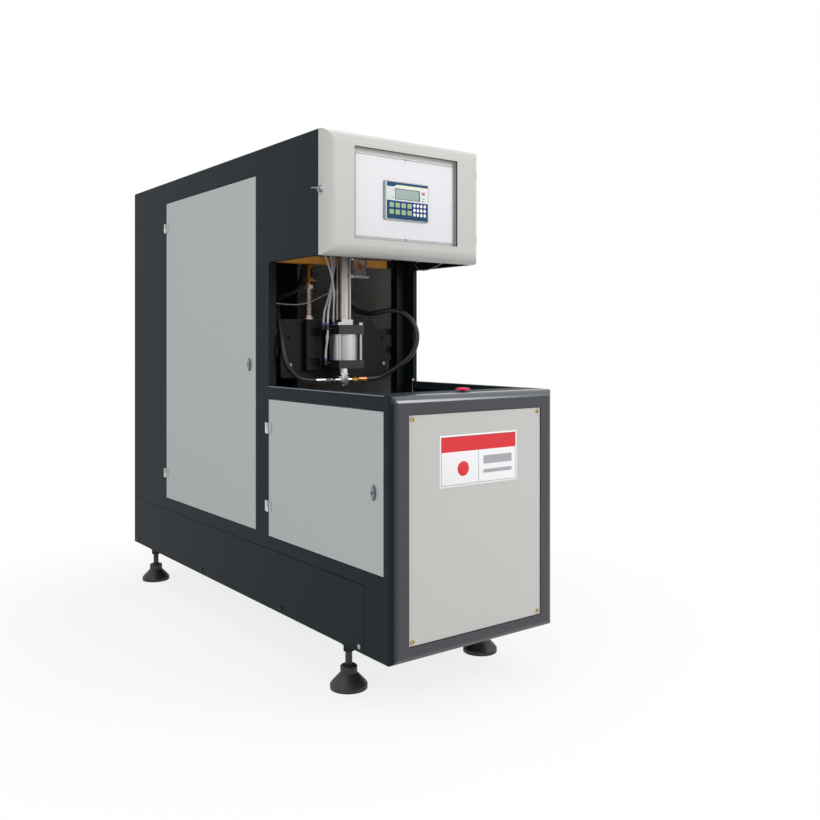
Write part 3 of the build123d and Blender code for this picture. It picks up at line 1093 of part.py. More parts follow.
# Base cylinder under the mould, and the lift plate on its rod
BASE_STROKE = 40.0
BASE_RADIUS = 36.0
BASE_BORE = 30.0
BASE_CYL_HIGH = 116.0
BASE_WALL = 12.0
BASE_FLOOR = 18.0
BASE_ROD = 12.0
BASE_PISTON = 18.0
GUIDE_X = 46.0
GUIDE_ROD = 7.0
LIFT_PLATE = 62.0
LIFT_PLATE_T = 50.0
LIFT_THICK = 16.0
LIFT_GAP = 16.0
INSERT_BOLT = 4.2
base_top = RAIL_TOP + BASE_CYL_HIGH
LIFT_LOW = base_top + LIFT_GAP
bore_low = RAIL_TOP + BASE_FLOOR
bore_high = base_top - BASE_WALL
base = block(-55, 55, HEAD_T - BASE_FRONT, HEAD_T + BASE_REAR, RAIL_TOP, RAIL_TOP + 10)
base += upright(BASE_RADIUS, 0, HEAD_T, RAIL_TOP, base_top)
base += block(-58, 58, HEAD_T - 14, HEAD_T + 14, base_top - 40, base_top - 15)
base += block(50, PINION_X, HEAD_T - BASE_FRONT, HEAD_T + BASE_REAR, RAIL_TOP, RAIL_TOP + 10)
base -= upright(BASE_BORE, 0, HEAD_T, bore_low, bore_high)
base -= upright(BASE_ROD + RUN_FIT, 0, HEAD_T, bore_high - 8, base_top + 1)
for x in (-GUIDE_X, GUIDE_X):
    base -= upright(GUIDE_ROD + RUN_FIT, x, HEAD_T, base_top - 60, base_top)
save("base_cylinder", base + stub)
lift_top = LIFT_LOW + LIFT_THICK
lift = block(-LIFT_PLATE, LIFT_PLATE, HEAD_T - LIFT_PLATE_T, HEAD_T + LIFT_PLATE_T, LIFT_LOW, lift_top)
lift += upright(BASE_ROD, 0, HEAD_T, bore_low + 20, LIFT_LOW)
lift += upright(BASE_BORE - RUN_FIT, 0, HEAD_T, bore_low + 16, bore_low + 16 + BASE_PISTON)
for x in (-GUIDE_X, GUIDE_X):
    lift += upright(GUIDE_ROD, x, HEAD_T, base_top - 90, LIFT_LOW)
for x in (-30, 30):
    for t in (HEAD_T - 30, HEAD_T + 30):
        lift -= upright(INSERT_BOLT, x, t, LIFT_LOW - 1, LIFT_LOW + LIFT_THICK + 1)
save("base_lift", lift)

# Air receiver standing on the floor plate in the tail of the body
TANK_X = -110.0
TANK_FROM_REAR = 240.0
TANK_RADIUS = 120.0
TANK_HIGH = 854.0
TANK_T = LENGTH - TANK_FROM_REAR
floor_z = RAIL_TOP + FLOOR_PLATE
tank_profile = Polyline(
    (0, 70), (TANK_RADIUS / 2, 74), (TANK_RADIUS - 20, 90), (TANK_RADIUS, 124), (TANK_RADIUS, TANK_HIGH - 54),
    (TANK_RADIUS - 20, TANK_HIGH - 20), (TANK_RADIUS / 2, TANK_HIGH - 4), (0, TANK_HIGH), close=True,
)
tank = Pos(TANK_X, at(TANK_T), floor_z) * revolve(make_face(Plane.XZ * tank_profile), Axis.Z)
TANK_RING_INSET = 24.0
TANK_RING_WALL = 4.0
ring_radius = TANK_RADIUS - TANK_RING_INSET
ring = upright(ring_radius, TANK_X, TANK_T, floor_z, floor_z + 110)
ring -= upright(ring_radius - TANK_RING_WALL, TANK_X, TANK_T, floor_z - 1, floor_z + 111)
tank += ring
tank += upright(18, TANK_X, TANK_T, floor_z + TANK_HIGH - 9, floor_z + TANK_HIGH + 26)
tank += across(14, TANK_X + TANK_RADIUS - 8, TANK_X + TANK_RADIUS + 22, TANK_T, floor_z + 300)
save("air_receiver", tank)

# Service wall across the body, with the solenoid valves and the air preparation units on it
WALL_INSET = 102.5
WALL_HALF = HALF - WALL_INSET
WALL_SHEET = 4.0
WALL_LEG = 38.0
WALL_LIFT = 566.0
WALL_HIGH = 550.0
wall_low = RAIL_TOP + WALL_LIFT
wall_top = wall_low + WALL_HIGH
wall = block(-WALL_HALF, WALL_HALF, WALL_T, WALL_T + WALL_SHEET, wall_low, wall_top)
for side in (-1, 1):
    wall += block(
        side * (WALL_HALF - WALL_LEG), side * WALL_HALF, WALL_T + WALL_SHEET, WALL_T + WALL_SHEET + WALL_LEG,
        RAIL_TOP, wall_top,
    )
save("frame", frame + wall)
VALVE_COUNT = 7
VALVE_STEP = 34.0
VALVE_FIRST = -184.0
BANK_DROP = 170.0
BANK_HIGH = 50.0
bank_low = wall_top - BANK_DROP
bank_high = bank_low + BANK_HIGH
bank = block(
    VALVE_FIRST - 16, VALVE_FIRST + VALVE_COUNT * VALVE_STEP - 14, WALL_T - 36, WALL_T, bank_low, bank_high,
)
for number in range(VALVE_COUNT):
    x = VALVE_FIRST + number * VALVE_STEP
    bank += block(x - 13, x + 13, WALL_T - 34, WALL_T - 4, bank_high, bank_high + 80)
    bank += block(x - 10, x + 10, WALL_T - 30, WALL_T - 6, bank_low - 40, bank_low)
save("valve_bank", bank)
UNIT_Z = wall_low + 205
UNIT_HALF = 25.0
BOWL_HIGH = 100.0
prep = Part()
for x in (-150.0, -60.0, 110.0):
    prep += block(x - 32, x + 32, WALL_T - 70, WALL_T - 8, UNIT_Z - UNIT_HALF, UNIT_Z + UNIT_HALF)
    prep += upright(26, x, WALL_T - 40, UNIT_Z - UNIT_HALF - BOWL_HIGH, UNIT_Z - UNIT_HALF)
    prep += upright(20, x, WALL_T - 40, UNIT_Z + UNIT_HALF, UNIT_Z + UNIT_HALF + 45)
    prep += Pos(x, at(WALL_T - 74), UNIT_Z) * Rot(90, 0, 0) * Cylinder(22, 10)
    prep += block(x - 16, x + 16, WALL_T - 10, WALL_T, UNIT_Z - 16, UNIT_Z + 16)
prep += across(9, -120, -90, WALL_T - 40, UNIT_Z)
prep += across(9, -30, 80, WALL_T - 40, UNIT_Z)
save("air_preparation", prep)

# Electrical plate behind the control box door
GEAR_SETBACK = 104.0
GEAR_SHEET = 3.0
GEAR_SIDE = 52.5
GEAR_LIFT = 27.0
GEAR_DROP = 30.0
GEAR_T = ARM_FRONT + GEAR_SETBACK
gear_x = HALF - GEAR_SIDE
gear_low = ARM_BOTTOM + GEAR_LIFT
gear_high = HEIGHT - GEAR_DROP
gear = block(-gear_x, gear_x, GEAR_T, GEAR_T + GEAR_SHEET, gear_low, gear_high)
for side in (-1, 1):
    gear += block(
        side * (gear_x - 1), side * (HALF - SHEET), GEAR_T, GEAR_T + GEAR_SHEET, gear_low + 60, gear_high - 60
    )
row_x = gear_x - 30
for count, z, width, deep in (
    (3, gear_low + 80, 90.0, 62.0), (9, (gear_low + gear_high) / 2 + 10, 42.0, 78.0),
    (5, gear_high - 70, 72.0, 70.0),
):
    gear += block(-row_x, row_x, GEAR_T - 8, GEAR_T, z - 17, z + 17)
    for number in range(count):
        x = -row_x + 45 + number * (2 * row_x - 110) / (count - 1)
        gear += block(x - width * 0.46, x + width * 0.46, GEAR_T - deep, GEAR_T - 4, z - 38, z + 38)
save("electrical_plate", gear)

# Main switch, air inlet with its ball valve lever, and the cable gland on the back
SWITCH_Z = 1400.0
BACK_SIDE = 41.5
BACK_X = HALF - BACK_SIDE
INLET_Z = 620.0
switch_plate = block(BACK_X - 33, BACK_X + 33, LENGTH, LENGTH + 8, SWITCH_Z - 33, SWITCH_Z + 33)
tall += switch_plate
tall -= along(9 + RUN_FIT, BACK_X, LENGTH - 5, LENGTH + 12, SWITCH_Z)
save("tall_body", tall)
knob = along(22, BACK_X, LENGTH + 9, LENGTH + 19, SWITCH_Z)
knob += block(BACK_X - 6, BACK_X + 6, LENGTH + 19, LENGTH + 33, SWITCH_Z - 22, SWITCH_Z + 22)
knob += along(9, BACK_X, LENGTH + 2, LENGTH + 10, SWITCH_Z)
save("main_switch_knob", knob)
INLET_BORE = 7.5
inlet = along(13, BACK_X, LENGTH, LENGTH + 30, INLET_Z)
inlet += Pos(BACK_X, at(LENGTH + 44), INLET_Z) * Rot(90, 0, 0) * hexagon(32, 40)
inlet += along(13, BACK_X, LENGTH + 60, LENGTH + REAR_REACH, INLET_Z)
inlet += upright(9, BACK_X, LENGTH + 44, INLET_Z + 10, INLET_Z + 26)
inlet -= along(INLET_BORE, BACK_X, LENGTH + 40, LENGTH + 81, INLET_Z)
save("air_inlet", inlet)
lever = upright(12, BACK_X, LENGTH + 44, INLET_Z + 26, INLET_Z + 34)
lever += block(BACK_X - 96, BACK_X, LENGTH + 35, LENGTH + 53, INLET_Z + 28, INLET_Z + 33)
save("inlet_lever", lever)

print(len(made), "pieces")
whole = Compound(children=list(made.values()))
box = whole.bounding_box()
print("size", [round(v, 1) for v in (box.size.X, box.size.Y, box.size.Z)], "low", round(box.min.Z, 2))
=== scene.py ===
# %% [markdown]
# # A semi-automatic blow moulding machine
# The machine's metalwork comes from the CAD frame, in metres, with Z up and the origin on the floor. This
# lesson gives each piece its finish, adds what CAD leaves out, and lights the whole for one photograph.

# %% Load the frame
import bpy
import bmesh
import math
from mathutils import Matrix, Vector


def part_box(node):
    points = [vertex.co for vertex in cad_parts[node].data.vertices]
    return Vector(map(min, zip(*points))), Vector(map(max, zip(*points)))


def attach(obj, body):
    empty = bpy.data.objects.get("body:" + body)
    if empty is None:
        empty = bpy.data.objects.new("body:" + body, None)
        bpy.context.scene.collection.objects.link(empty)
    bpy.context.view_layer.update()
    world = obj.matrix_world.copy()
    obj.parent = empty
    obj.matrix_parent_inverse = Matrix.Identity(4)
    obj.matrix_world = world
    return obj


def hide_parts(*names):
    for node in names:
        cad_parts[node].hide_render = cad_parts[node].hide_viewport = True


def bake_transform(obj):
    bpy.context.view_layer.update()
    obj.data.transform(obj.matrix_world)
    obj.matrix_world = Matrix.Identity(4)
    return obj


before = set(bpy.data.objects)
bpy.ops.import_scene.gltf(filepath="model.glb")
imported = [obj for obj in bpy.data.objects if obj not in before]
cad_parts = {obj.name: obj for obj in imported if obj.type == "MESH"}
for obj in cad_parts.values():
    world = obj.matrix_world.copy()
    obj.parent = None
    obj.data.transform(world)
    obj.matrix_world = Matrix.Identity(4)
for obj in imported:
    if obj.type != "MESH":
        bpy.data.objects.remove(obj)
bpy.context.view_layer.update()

# %% [markdown]
# The photograph was taken from the machine's front left corner with a level camera, 1.18 m over the floor.
# A small vertical shift keeps the upright edges parallel, as an architect's camera does.

# %% Camera
camera_data = bpy.data.cameras.new("Level camera")
camera_data.lens = 39.33
camera_data.sensor_width = 36.0
camera_data.shift_y = -0.085
camera_data.clip_end = 60.0
camera = bpy.data.objects.new("Level camera", camera_data)
bpy.context.scene.collection.objects.link(camera)
camera.location = (-1.9696, -3.3615, 1.178)
camera.rotation_euler = (math.radians(90), 0.0, math.radians(-37.1655))
bpy.context.scene.camera = camera
print("camera at", tuple(round(c, 2) for c in camera.location))

# %% [markdown]
# Colours are given as sRGB hex, the way a paint maker's screen shows them.
# Cycles works in linear light, so one function turns each hex value into linear numbers.

# %% Colour helper
def paint(hex_code):
    """An sRGB hex value as a linear RGBA colour."""
    parts = [int(hex_code[i:i + 2], 16) / 255 for i in (1, 3, 5)]
    linear = [c / 12.92 if c <= 0.04045 else ((c + 0.055) / 1.055) ** 2.4 for c in parts]
    return (*linear, 1.0)


slate = "#20282C"
print("body slate in linear light:", [round(c, 3) for c in paint(slate)])

# %% [markdown]
# Every finish is a small node tree. One function adds a node, sets its values and joins its inputs.
# A finish that is even all over needs only the Principled shader's own sockets.

# %% Node helper
def add_node(tree, kind, values=None, links=None, **settings):
    """Adds one node. values sets sockets, and links joins sockets to other nodes' outputs."""
    made = tree.nodes.new(kind)
    for name, value in settings.items():
        setattr(made, name, value)
    for socket, value in (values or {}).items():
        made.inputs[socket].default_value = value
    for socket, output in (links or {}).items():
        tree.links.new(output, made.inputs[socket])
    return made


def plain_finish(name, colour, roughness, metallic=0.0, **sockets):
    """A material with an even colour. Further sockets of its shader are set by name, with _ for a space."""
    material = bpy.data.materials.new(name)
    material.use_nodes = True
    shader = material.node_tree.nodes["Principled BSDF"]
    shader.inputs["Base Color"].default_value = paint(colour)
    shader.inputs["Roughness"].default_value = roughness
    shader.inputs["Metallic"].default_value = metallic
    for socket, value in sockets.items():
        shader.inputs[socket.replace("_", " ")].default_value = value
    return material


print("helpers ready")

# %% [markdown]
# Powder coat is baked plastic dust on sheet steel. It flows out almost flat but keeps a soft orange peel,
# whose humps are 1 to 3 mm across. A noise bump that size breaks the highlights as the real coat does.
# The body is a dark slate, the doors a cool light grey, and the control box and front panel a warmer white.

# %% Powder coated steel
def powder_coat(name, colour, roughness, gloss=0.5, peel_mm=2.5, depth_mm=0.01):
    """Baked powder coat with a fine orange peel in the bump."""
    material = plain_finish(name, colour, roughness, IOR=1.5, Specular_IOR_Level=gloss)
    tree = material.node_tree
    place = add_node(tree, "ShaderNodeTexCoord")
    peel = add_node(tree, "ShaderNodeTexNoise", {"Scale": 1000 / peel_mm, "Detail": 1.0},
                    {"Vector": place.outputs["Object"]})
    bump = add_node(tree, "ShaderNodeBump", {"Strength": 0.35, "Distance": depth_mm / 1000},
                    {"Height": peel.outputs["Fac"]})
    tree.links.new(bump.outputs["Normal"], tree.nodes["Principled BSDF"].inputs["Normal"])
    return material


slate_gloss, surround_sheen, door_grey = 0.06, 0.6, "#B6BBBC"
slate_coat = powder_coat("Slate powder coat on sheet steel", slate, 0.5, slate_gloss)
skirt_coat = powder_coat("Slate powder coat on the skirt", slate, 0.5, slate_gloss)
cabinet_coat = powder_coat("Slate powder coat with a painted highlight on the rim", slate, 0.5, slate_gloss)
# The front surround carries painted shade at its left edge and a painted reflection along its top edge.
surround_coat = powder_coat("Gloss slate powder coat on the front surround", "#32353A", 0.2, surround_sheen)
door_coat = powder_coat("Light grey powder coat on the side doors", door_grey, 0.45, 0.3)
far_door_coat = powder_coat("Light grey powder coat with painted light on its inside", door_grey, 0.45, 0.3)
panel_coat = powder_coat("Warm grey powder coat on the front panel", "#C8C8C5", 0.45, 0.3)
box_coat = powder_coat("Off-white powder coat on the control box", "#C9C7C4", 0.38, 0.3)
black_coat = powder_coat("Black powder coat on the frame", "#141617", 0.5, 0.2)
beam_coat = powder_coat("Ochre enamel on the cross beam", "#F8AB42", 0.4)
hinge_coat = powder_coat("White powder coat on the hinges", "#E4E6E6", 0.4)
print("powder coats:", len(bpy.data.materials))

# %% [markdown]
# Bare metals keep the default IOR and take their colour from the base colour alone.
# Ground and turned parts carry fine tool marks, so their roughness varies along stretched noise.

# %% Metals
def turned_metal(name, colour, roughness, grain_mm=0.8, stretch=(1.0, 1.0, 8.0)):
    """Bare metal with fine tool marks that vary its roughness."""
    material = plain_finish(name, colour, roughness, metallic=1.0)
    tree = material.node_tree
    place = add_node(tree, "ShaderNodeTexCoord")
    across = add_node(tree, "ShaderNodeMapping", {"Scale": stretch}, {"Vector": place.outputs["Object"]})
    marks = add_node(tree, "ShaderNodeTexNoise", {"Scale": 1000 / grain_mm / stretch[2], "Detail": 2.0},
                     {"Vector": across.outputs["Vector"]})
    spread = add_node(tree, "ShaderNodeMapRange", {"To Min": roughness * 0.7, "To Max": roughness * 1.35},
                      {"Value": marks.outputs["Fac"]})
    tree.links.new(spread.outputs["Result"], tree.nodes["Principled BSDF"].inputs["Roughness"])
    return material


polished_steel = turned_metal("Polished stainless steel", "#DCDDDE", 0.12)
chrome_rod = turned_metal("Hard chromed rod", "#DADBDC", 0.1)
anodised_tube = turned_metal("Clear anodised aluminium tube", "#B9B4B0", 0.34)
barrel_tube = turned_metal("Brushed aluminium barrel", "#BDBDBC", 0.46)
latch_zinc = turned_metal("Dull die-cast zinc", "#8E9194", 0.42)
zinc_steel = turned_metal("Zinc plated steel", "#B4B6B8", 0.34)
machined_steel = turned_metal("Machined tool steel", "#8C8E90", 0.38)
black_oxide = turned_metal("Black oxide steel", "#2A2A2B", 0.45)
brass = turned_metal("Turned brass", "#C4AA74", 0.26)
# The copper brown of the pressure switch disc is a painted reflection of the orange beam.
copper_with_beam_reflection = turned_metal("Copper brown disc with the beam's painted reflection", "#A8603C", 0.36)
print("metals ready")

# %% [markdown]
# Rubber, nylon and moulded plastics are not metals. Their IOR is near 1.5, and their roughness tells them
# apart: rubber hose scatters light widely, while a display bezel is smoother.

# %% Plastics and rubber
hose_rubber = plain_finish("Black extruded rubber hose", "#16171A", 0.48, IOR=1.52)
foot_rubber = plain_finish("Cast black foot pad", "#282623", 0.5, IOR=1.5)
black_plastic = plain_finish("Black moulded plastic", "#1B1C1F", 0.42, IOR=1.49)
red_plastic = plain_finish("Red moulded plastic", "#F0325C", 0.55, IOR=1.49, Specular_IOR_Level=0.3)
tube_plastic = plain_finish("Translucent nylon air tube", "#D9DCDF", 0.35, IOR=1.53)
cable_vinyl = plain_finish("Grey vinyl cable sheath", "#A9ACAE", 0.45, IOR=1.53)
plate_lacquer = plain_finish("White lacquered inset plate", "#E3E1E5", 0.32, IOR=1.48)
bezel_plastic = plain_finish("Grey moulded display bezel", "#8F979B", 0.4, IOR=1.5)
clear_cover = plain_finish("Clear polycarbonate cover", "#F4F6F6", 0.06, IOR=1.58, Transmission_Weight=0.85)
foil_print = plain_finish("Pale printed polyester foil", "#D9DEDF", 0.35, IOR=1.57)
foil_cream = plain_finish("Cream print on polyester foil", "#E6E3B4", 0.35, IOR=1.57)
key_green = plain_finish("Green print on a domed key", "#86B26C", 0.4, IOR=1.57)
key_white = plain_finish("White print on a domed key", "#F2F5F5", 0.3, IOR=1.57)
key_red = plain_finish("Red print on a domed key", "#9A3F3B", 0.3, IOR=1.57)
lamp_green = plain_finish("Green lamp lens", "#6E8C62", 0.25, IOR=1.49)
crystal_glass = plain_finish("Grey green liquid crystal glass", "#7F988C", 0.2, IOR=1.52)
print_grey = plain_finish("Grey screen print", "#A9ACB0", 0.45, IOR=1.5)
print_line = plain_finish("Dark grey screen print", "#4B4E55", 0.45, IOR=1.5)
# This brown grey is painted shade for the control box's recess walls.
recess_shade_rubber = plain_finish("Brown grey strip of painted shade in the recess", "#3F3833", 0.7, IOR=1.52)
# The dark olive of the panel screws' crosses is painted shade in their recesses.
recess_shade_olive = plain_finish("Dark olive painted shade in screw recesses", "#4A452C", 0.5, IOR=1.47)
device_grey = plain_finish("Light grey moulded device front", "#B9BDBF", 0.45, IOR=1.5)
duct_plastic = plain_finish("Grey slotted duct plastic", "#8E9395", 0.5, IOR=1.53)
yellow_plastic = plain_finish("Yellow moulded switch plate", "#E3B51C", 0.4, IOR=1.49)
plate_white = plain_finish("White lacquered front plate", "#F7F6F8", 0.4, IOR=1.48)
switch_red = plain_finish("Red moulded switch knob", "#C4202B", 0.35, IOR=1.49)
print_red = plain_finish("Red screen print", "#DE2630", 0.45, IOR=1.5)

# The blue fields are printed with a fade, from violet blue above to teal below.
foil_blue = plain_finish("Blue screen print that fades to teal", "#2F4F84", 0.5, IOR=1.57,
                         Specular_IOR_Level=0.12)
fade_tree = foil_blue.node_tree
fade_place = add_node(fade_tree, "ShaderNodeTexCoord")
fade_axis = add_node(fade_tree, "ShaderNodeSeparateXYZ", {}, {"Vector": fade_place.outputs["Object"]})
fade_share = add_node(fade_tree, "ShaderNodeMapRange", {"From Min": 1.619, "From Max": 1.684},
                      {"Value": fade_axis.outputs["Z"]})
fade_mix = add_node(fade_tree, "ShaderNodeMix", {"A": paint("#1D4560"), "B": paint("#2A3580")},
                    {"Factor": fade_share.outputs["Result"]}, data_type="RGBA")
fade_tree.links.new(fade_mix.outputs["Result"], fade_tree.nodes["Principled BSDF"].inputs["Base Color"])
print("plastics and prints ready")

# %% [markdown]
# Some pieces are finished in two shades, such as an elbow with a coloured ring, and on some the second colour
# is painted light or shade, such as a painted highlight along a sheet edge.
# One function masks what lies between two places along an axis, in metres, and blends the second colour in.
# The places are those of the CAD, because each piece's own coordinates are the machine's.

# %% Pieces in two shades
def part_painted(material, axis, low, high, colour, soft=0.0001):
    """Gives another colour to what lies between two places along an axis, fading out over soft metres.

    It returns the mask, so that the gloss can follow the colour.
    """
    tree = material.node_tree
    shader = tree.nodes["Principled BSDF"]
    spot = add_node(tree, "ShaderNodeTexCoord")
    along = add_node(tree, "ShaderNodeSeparateXYZ", {}, {"Vector": spot.outputs["Object"]})
    above = add_node(tree, "ShaderNodeMapRange", {"From Min": low - soft, "From Max": low},
                     {"Value": along.outputs[axis]})
    below = add_node(tree, "ShaderNodeMapRange", {"From Min": high + soft, "From Max": high},
                     {"Value": along.outputs[axis]})
    both = add_node(tree, "ShaderNodeMath", {}, {0: above.outputs[0], 1: below.outputs[0]},
                    operation="MULTIPLY")
    blend = add_node(tree, "ShaderNodeMix", {"B": paint(colour)}, {"Factor": both.outputs[0]},
                     data_type="RGBA")
    before = shader.inputs["Base Color"].links
    if before:
        tree.links.new(before[0].from_socket, blend.inputs["A"])
    else:
        blend.inputs["A"].default_value = shader.inputs["Base Color"].default_value
    tree.links.new(blend.outputs["Result"], shader.inputs["Base Color"])
    return both.outputs[0]


# The push-in elbows are black, with violet blue release rings where the tubes go in.
elbow_plastic = plain_finish("Black nylon elbow with blue release rings", "#1B1C22", 0.4, IOR=1.53)
for ring_top in (1.108, 1.246):
    part_painted(elbow_plastic, "Z", ring_top - 0.010, ring_top, "#4A4C9C")
# The right hose ferrule is browned copper, and its hexagons are brass.
ferrule_brass = turned_metal("Turned brass with a browned copper ferrule", "#D6AE58", 0.26)
part_painted(ferrule_brass, "X", 0.068, 0.12, "#B07A58")
# The height screw is bright above the plate and goes brassy where its grease has browned near the beam.
screw_steel = turned_metal("Steel screw with browned grease", "#B3A39C", 0.34)
part_painted(screw_steel, "Z", 1.405, 1.56, "#8C6236")
# The head strip of the display foil is teal.
part_painted(foil_blue, "Z", 1.73, 1.76, "#1C4B70")
# The front surround's side flanges have the body's dull slate colour. Round the left edge, which turns away
# from the key light, a painted shade in slate fades in, and the gloss drops with it. Its rounded top edge is
# the glossiest part, because its coat flowed out thickest there, and its lighter blue grey colour there is a
# painted reflection of the sky.
surround_tree = surround_coat.node_tree
surround_gloss = add_node(surround_tree, "ShaderNodeValue").outputs["Value"]
surround_gloss.default_value = surround_sheen
for axis, low, high, colour, soft, gloss in (
    ("Y", -1.134, -1.0, slate, 0.0001, slate_gloss),
    ("Z", 0.983, 1.1, "#414752", 0.0001, 1.0),
    ("X", -0.36, -0.351, slate, 0.022, slate_gloss),
):
    mask = part_painted(surround_coat, axis, low, high, colour, soft)
    surround_gloss = add_node(surround_tree, "ShaderNodeMapRange", {"To Max": gloss},
                              {"Value": mask, "To Min": surround_gloss}).outputs["Result"]
surround_tree.links.new(surround_gloss, surround_tree.nodes["Principled BSDF"].inputs["Specular IOR Level"])
# The folded edge along the well's rim carries a painted highlight in light blue grey on its outer side, and
# its top stays dark.
part_painted(cabinet_coat, "Z", 1.0028, 1.1, "#98A2AA")
part_painted(cabinet_coat, "X", -0.3515, 0.4, slate)
# The far tall door is painted white inside, as painted light where it shows through the window behind the
# head.
part_painted(far_door_coat, "X", 0.3, 0.3512, "#FFFEF6")
# The joint round the skirt is a narrow gap with a dark sealing bead in it.
joint_black = "#050607"
part_painted(skirt_coat, "Z", 0.3895, 0.4, joint_black)
part_painted(skirt_coat, "Y", -0.99, -0.982, joint_black)
# The lower screws of the head plate are bright, and the upper ones are near black.
# The skirt's screws take the body's slate, but for the foremost ones.
bright_zinc = "#A4A6A8"
screw_zinc = turned_metal("Zinc plated and black socket screws", bright_zinc, 0.36)
part_painted(screw_zinc, "Z", 1.15, 1.5, "#2A2B2D")
part_painted(screw_zinc, "Z", 0.15, 0.21, slate)
part_painted(screw_zinc, "Y", -1.02, -0.95, bright_zinc)
print("materials in all:", len(bpy.data.materials))

# %% [markdown]
# Each CAD piece gets one of these finishes, so the list reads like a paint shop's order sheet.
# What is left without a finish is printed, and that list has to be empty.

# %% Finishes for the CAD pieces
finish_of = {
    slate_coat: ["tall_body", "service_panel"],
    skirt_coat: ["skirt"],
    cabinet_coat: ["low_cabinet"],
    surround_coat: ["front_frame"],
    door_coat: ["tall_door_left", "low_door_left", "low_door_right"],
    far_door_coat: ["tall_door_right"],
    panel_coat: ["front_panel"],
    box_coat: ["box_door"],
    black_coat: ["frame", "head_plate", "end_plates"],
    beam_coat: ["cross_beam"],
    hinge_coat: ["hinge_halves"],
    plate_lacquer: ["inset_plate"],
    bezel_plastic: ["text_display"],
    polished_steel: ["blow_nozzle"],
    barrel_tube: ["seal_barrel"],
    latch_zinc: ["box_lock", "tall_latch_left", "tall_latch_right", "low_latch_left", "low_latch_right"],
    chrome_rod: ["stretch_rod", "tie_bars"],
    anodised_tube: ["stretch_cylinder", "base_cylinder", "clamp_cylinders", "blow_valves", "valve_bank"],
    screw_zinc: ["cap_screws"],
    zinc_steel: ["seal_tie_rods", "electrical_plate", "inlet_lever"],
    black_oxide: ["foot_lock_nuts"],
    machined_steel: ["platen_front", "platen_rear", "base_lift", "sync_pinion", "air_receiver"],
    screw_steel: ["height_screw"],
    ferrule_brass: ["brass_fitting"],
    brass: ["panel_screws", "air_inlet"],
    black_plastic: ["seal_covers", "air_preparation", "stop_collar"],
    hose_rubber: ["blow_hose_left", "blow_hose_right"],
    foot_rubber: ["foot_front_left", "foot_front_right", "foot_rear_left", "foot_rear_right"],
    red_plastic: ["stop_button"],
    switch_red: ["main_switch_knob"],
    elbow_plastic: ["push_elbows"],
    tube_plastic: ["air_tubes"],
    clear_cover: ["pressure_switch"],
}
for finish, names in finish_of.items():
    for name in names:
        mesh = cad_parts[name].data
        mesh.materials.clear()
        mesh.materials.append(finish)
bare = sorted(set(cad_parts) - {name for names in finish_of.values() for name in names})
print("pieces without a finish:", bare)

# %% [markdown]
# The added pieces are built in bmesh and finished by one function. It softens the shading over gentle bends
# and keeps corners crisp, then hangs the piece on the CAD body that carries it.

# %% Piece helpers
def add_piece(name, shape, finish, body, crisp=35):
    """Puts a bmesh into the scene as one piece that rides on a CAD body.

    Edges that turn by more than crisp degrees stay sharp.
    """
    bmesh.ops.recalc_face_normals(shape, faces=shape.faces)
    for face in shape.faces:
        face.smooth = True
    for edge in shape.edges:
        edge.smooth = len(edge.link_faces) == 2 and edge.calc_face_angle(0.0) < math.radians(crisp)
    mesh = bpy.data.meshes.new(name)
    shape.to_mesh(mesh)
    shape.free()
    mesh.materials.append(finish)
    piece = bpy.data.objects.new(name, mesh)
    bpy.context.scene.collection.objects.link(piece)
    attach(piece, body)
    return piece


def rounded(x0, x1, z0, z1, radius, steps=5):
    """The outline of a rectangle with round corners, as (x, z) points."""
    points = []
    for cx, cz, turn in ((x1 - radius, z1 - radius, 0), (x0 + radius, z1 - radius, 90),
                         (x0 + radius, z0 + radius, 180), (x1 - radius, z0 + radius, 270)):
        for step in range(steps + 1):
            angle = math.radians(turn + 90 * step / steps)
            points.append((cx + radius * math.cos(angle), cz + radius * math.sin(angle)))
    return points


def add_slab(shape, outline, back, front, rim=0.0004):
    """Adds a plate that faces -Y: an outline in X and Z, raised from back to front, with a softened rim."""
    foot = shape.faces.new([shape.verts.new((x, back, z)) for x, z in outline])
    raised = bmesh.ops.extrude_face_region(shape, geom=[foot], use_keep_orig=True)["geom"]
    top = [part for part in raised if isinstance(part, bmesh.types.BMVert)]
    bmesh.ops.translate(shape, verts=top, vec=(0.0, front - back, 0.0))
    lid = [part for part in raised if isinstance(part, bmesh.types.BMFace)][0]
    if rim:
        bmesh.ops.bevel(shape, geom=lid.edges[:], offset=rim, segments=2, profile=0.5,
                        affect="EDGES", material=-1)


def border(x0, x1, z0, z1, width):
    """The outlines of four thin bars along the inside of a rectangle."""
    bars = ((x0, x1, z0, z0 + width), (x0, x1, z1 - width, z1),
            (x0, x0 + width, z0, z1), (x1 - width, x1, z0, z1))
    return [rounded(*bar, 0.0004, 2) for bar in bars]


def slab_piece(name, outlines, back, front, finish, body, rim=0.0):
    """Puts a piece into the scene that is made of slabs with one depth in common."""
    shape = bmesh.new()
    for outline in outlines:
        add_slab(shape, outline, back, front, rim)
    return add_piece(name, shape, finish, body)


def join_shape(shape, extra):
    """Moves the geometry of one bmesh into another, and frees the first."""
    pressed = bpy.data.meshes.new("pressed")
    extra.to_mesh(pressed)
    extra.free()
    shape.from_mesh(pressed)
    bpy.data.meshes.remove(pressed)


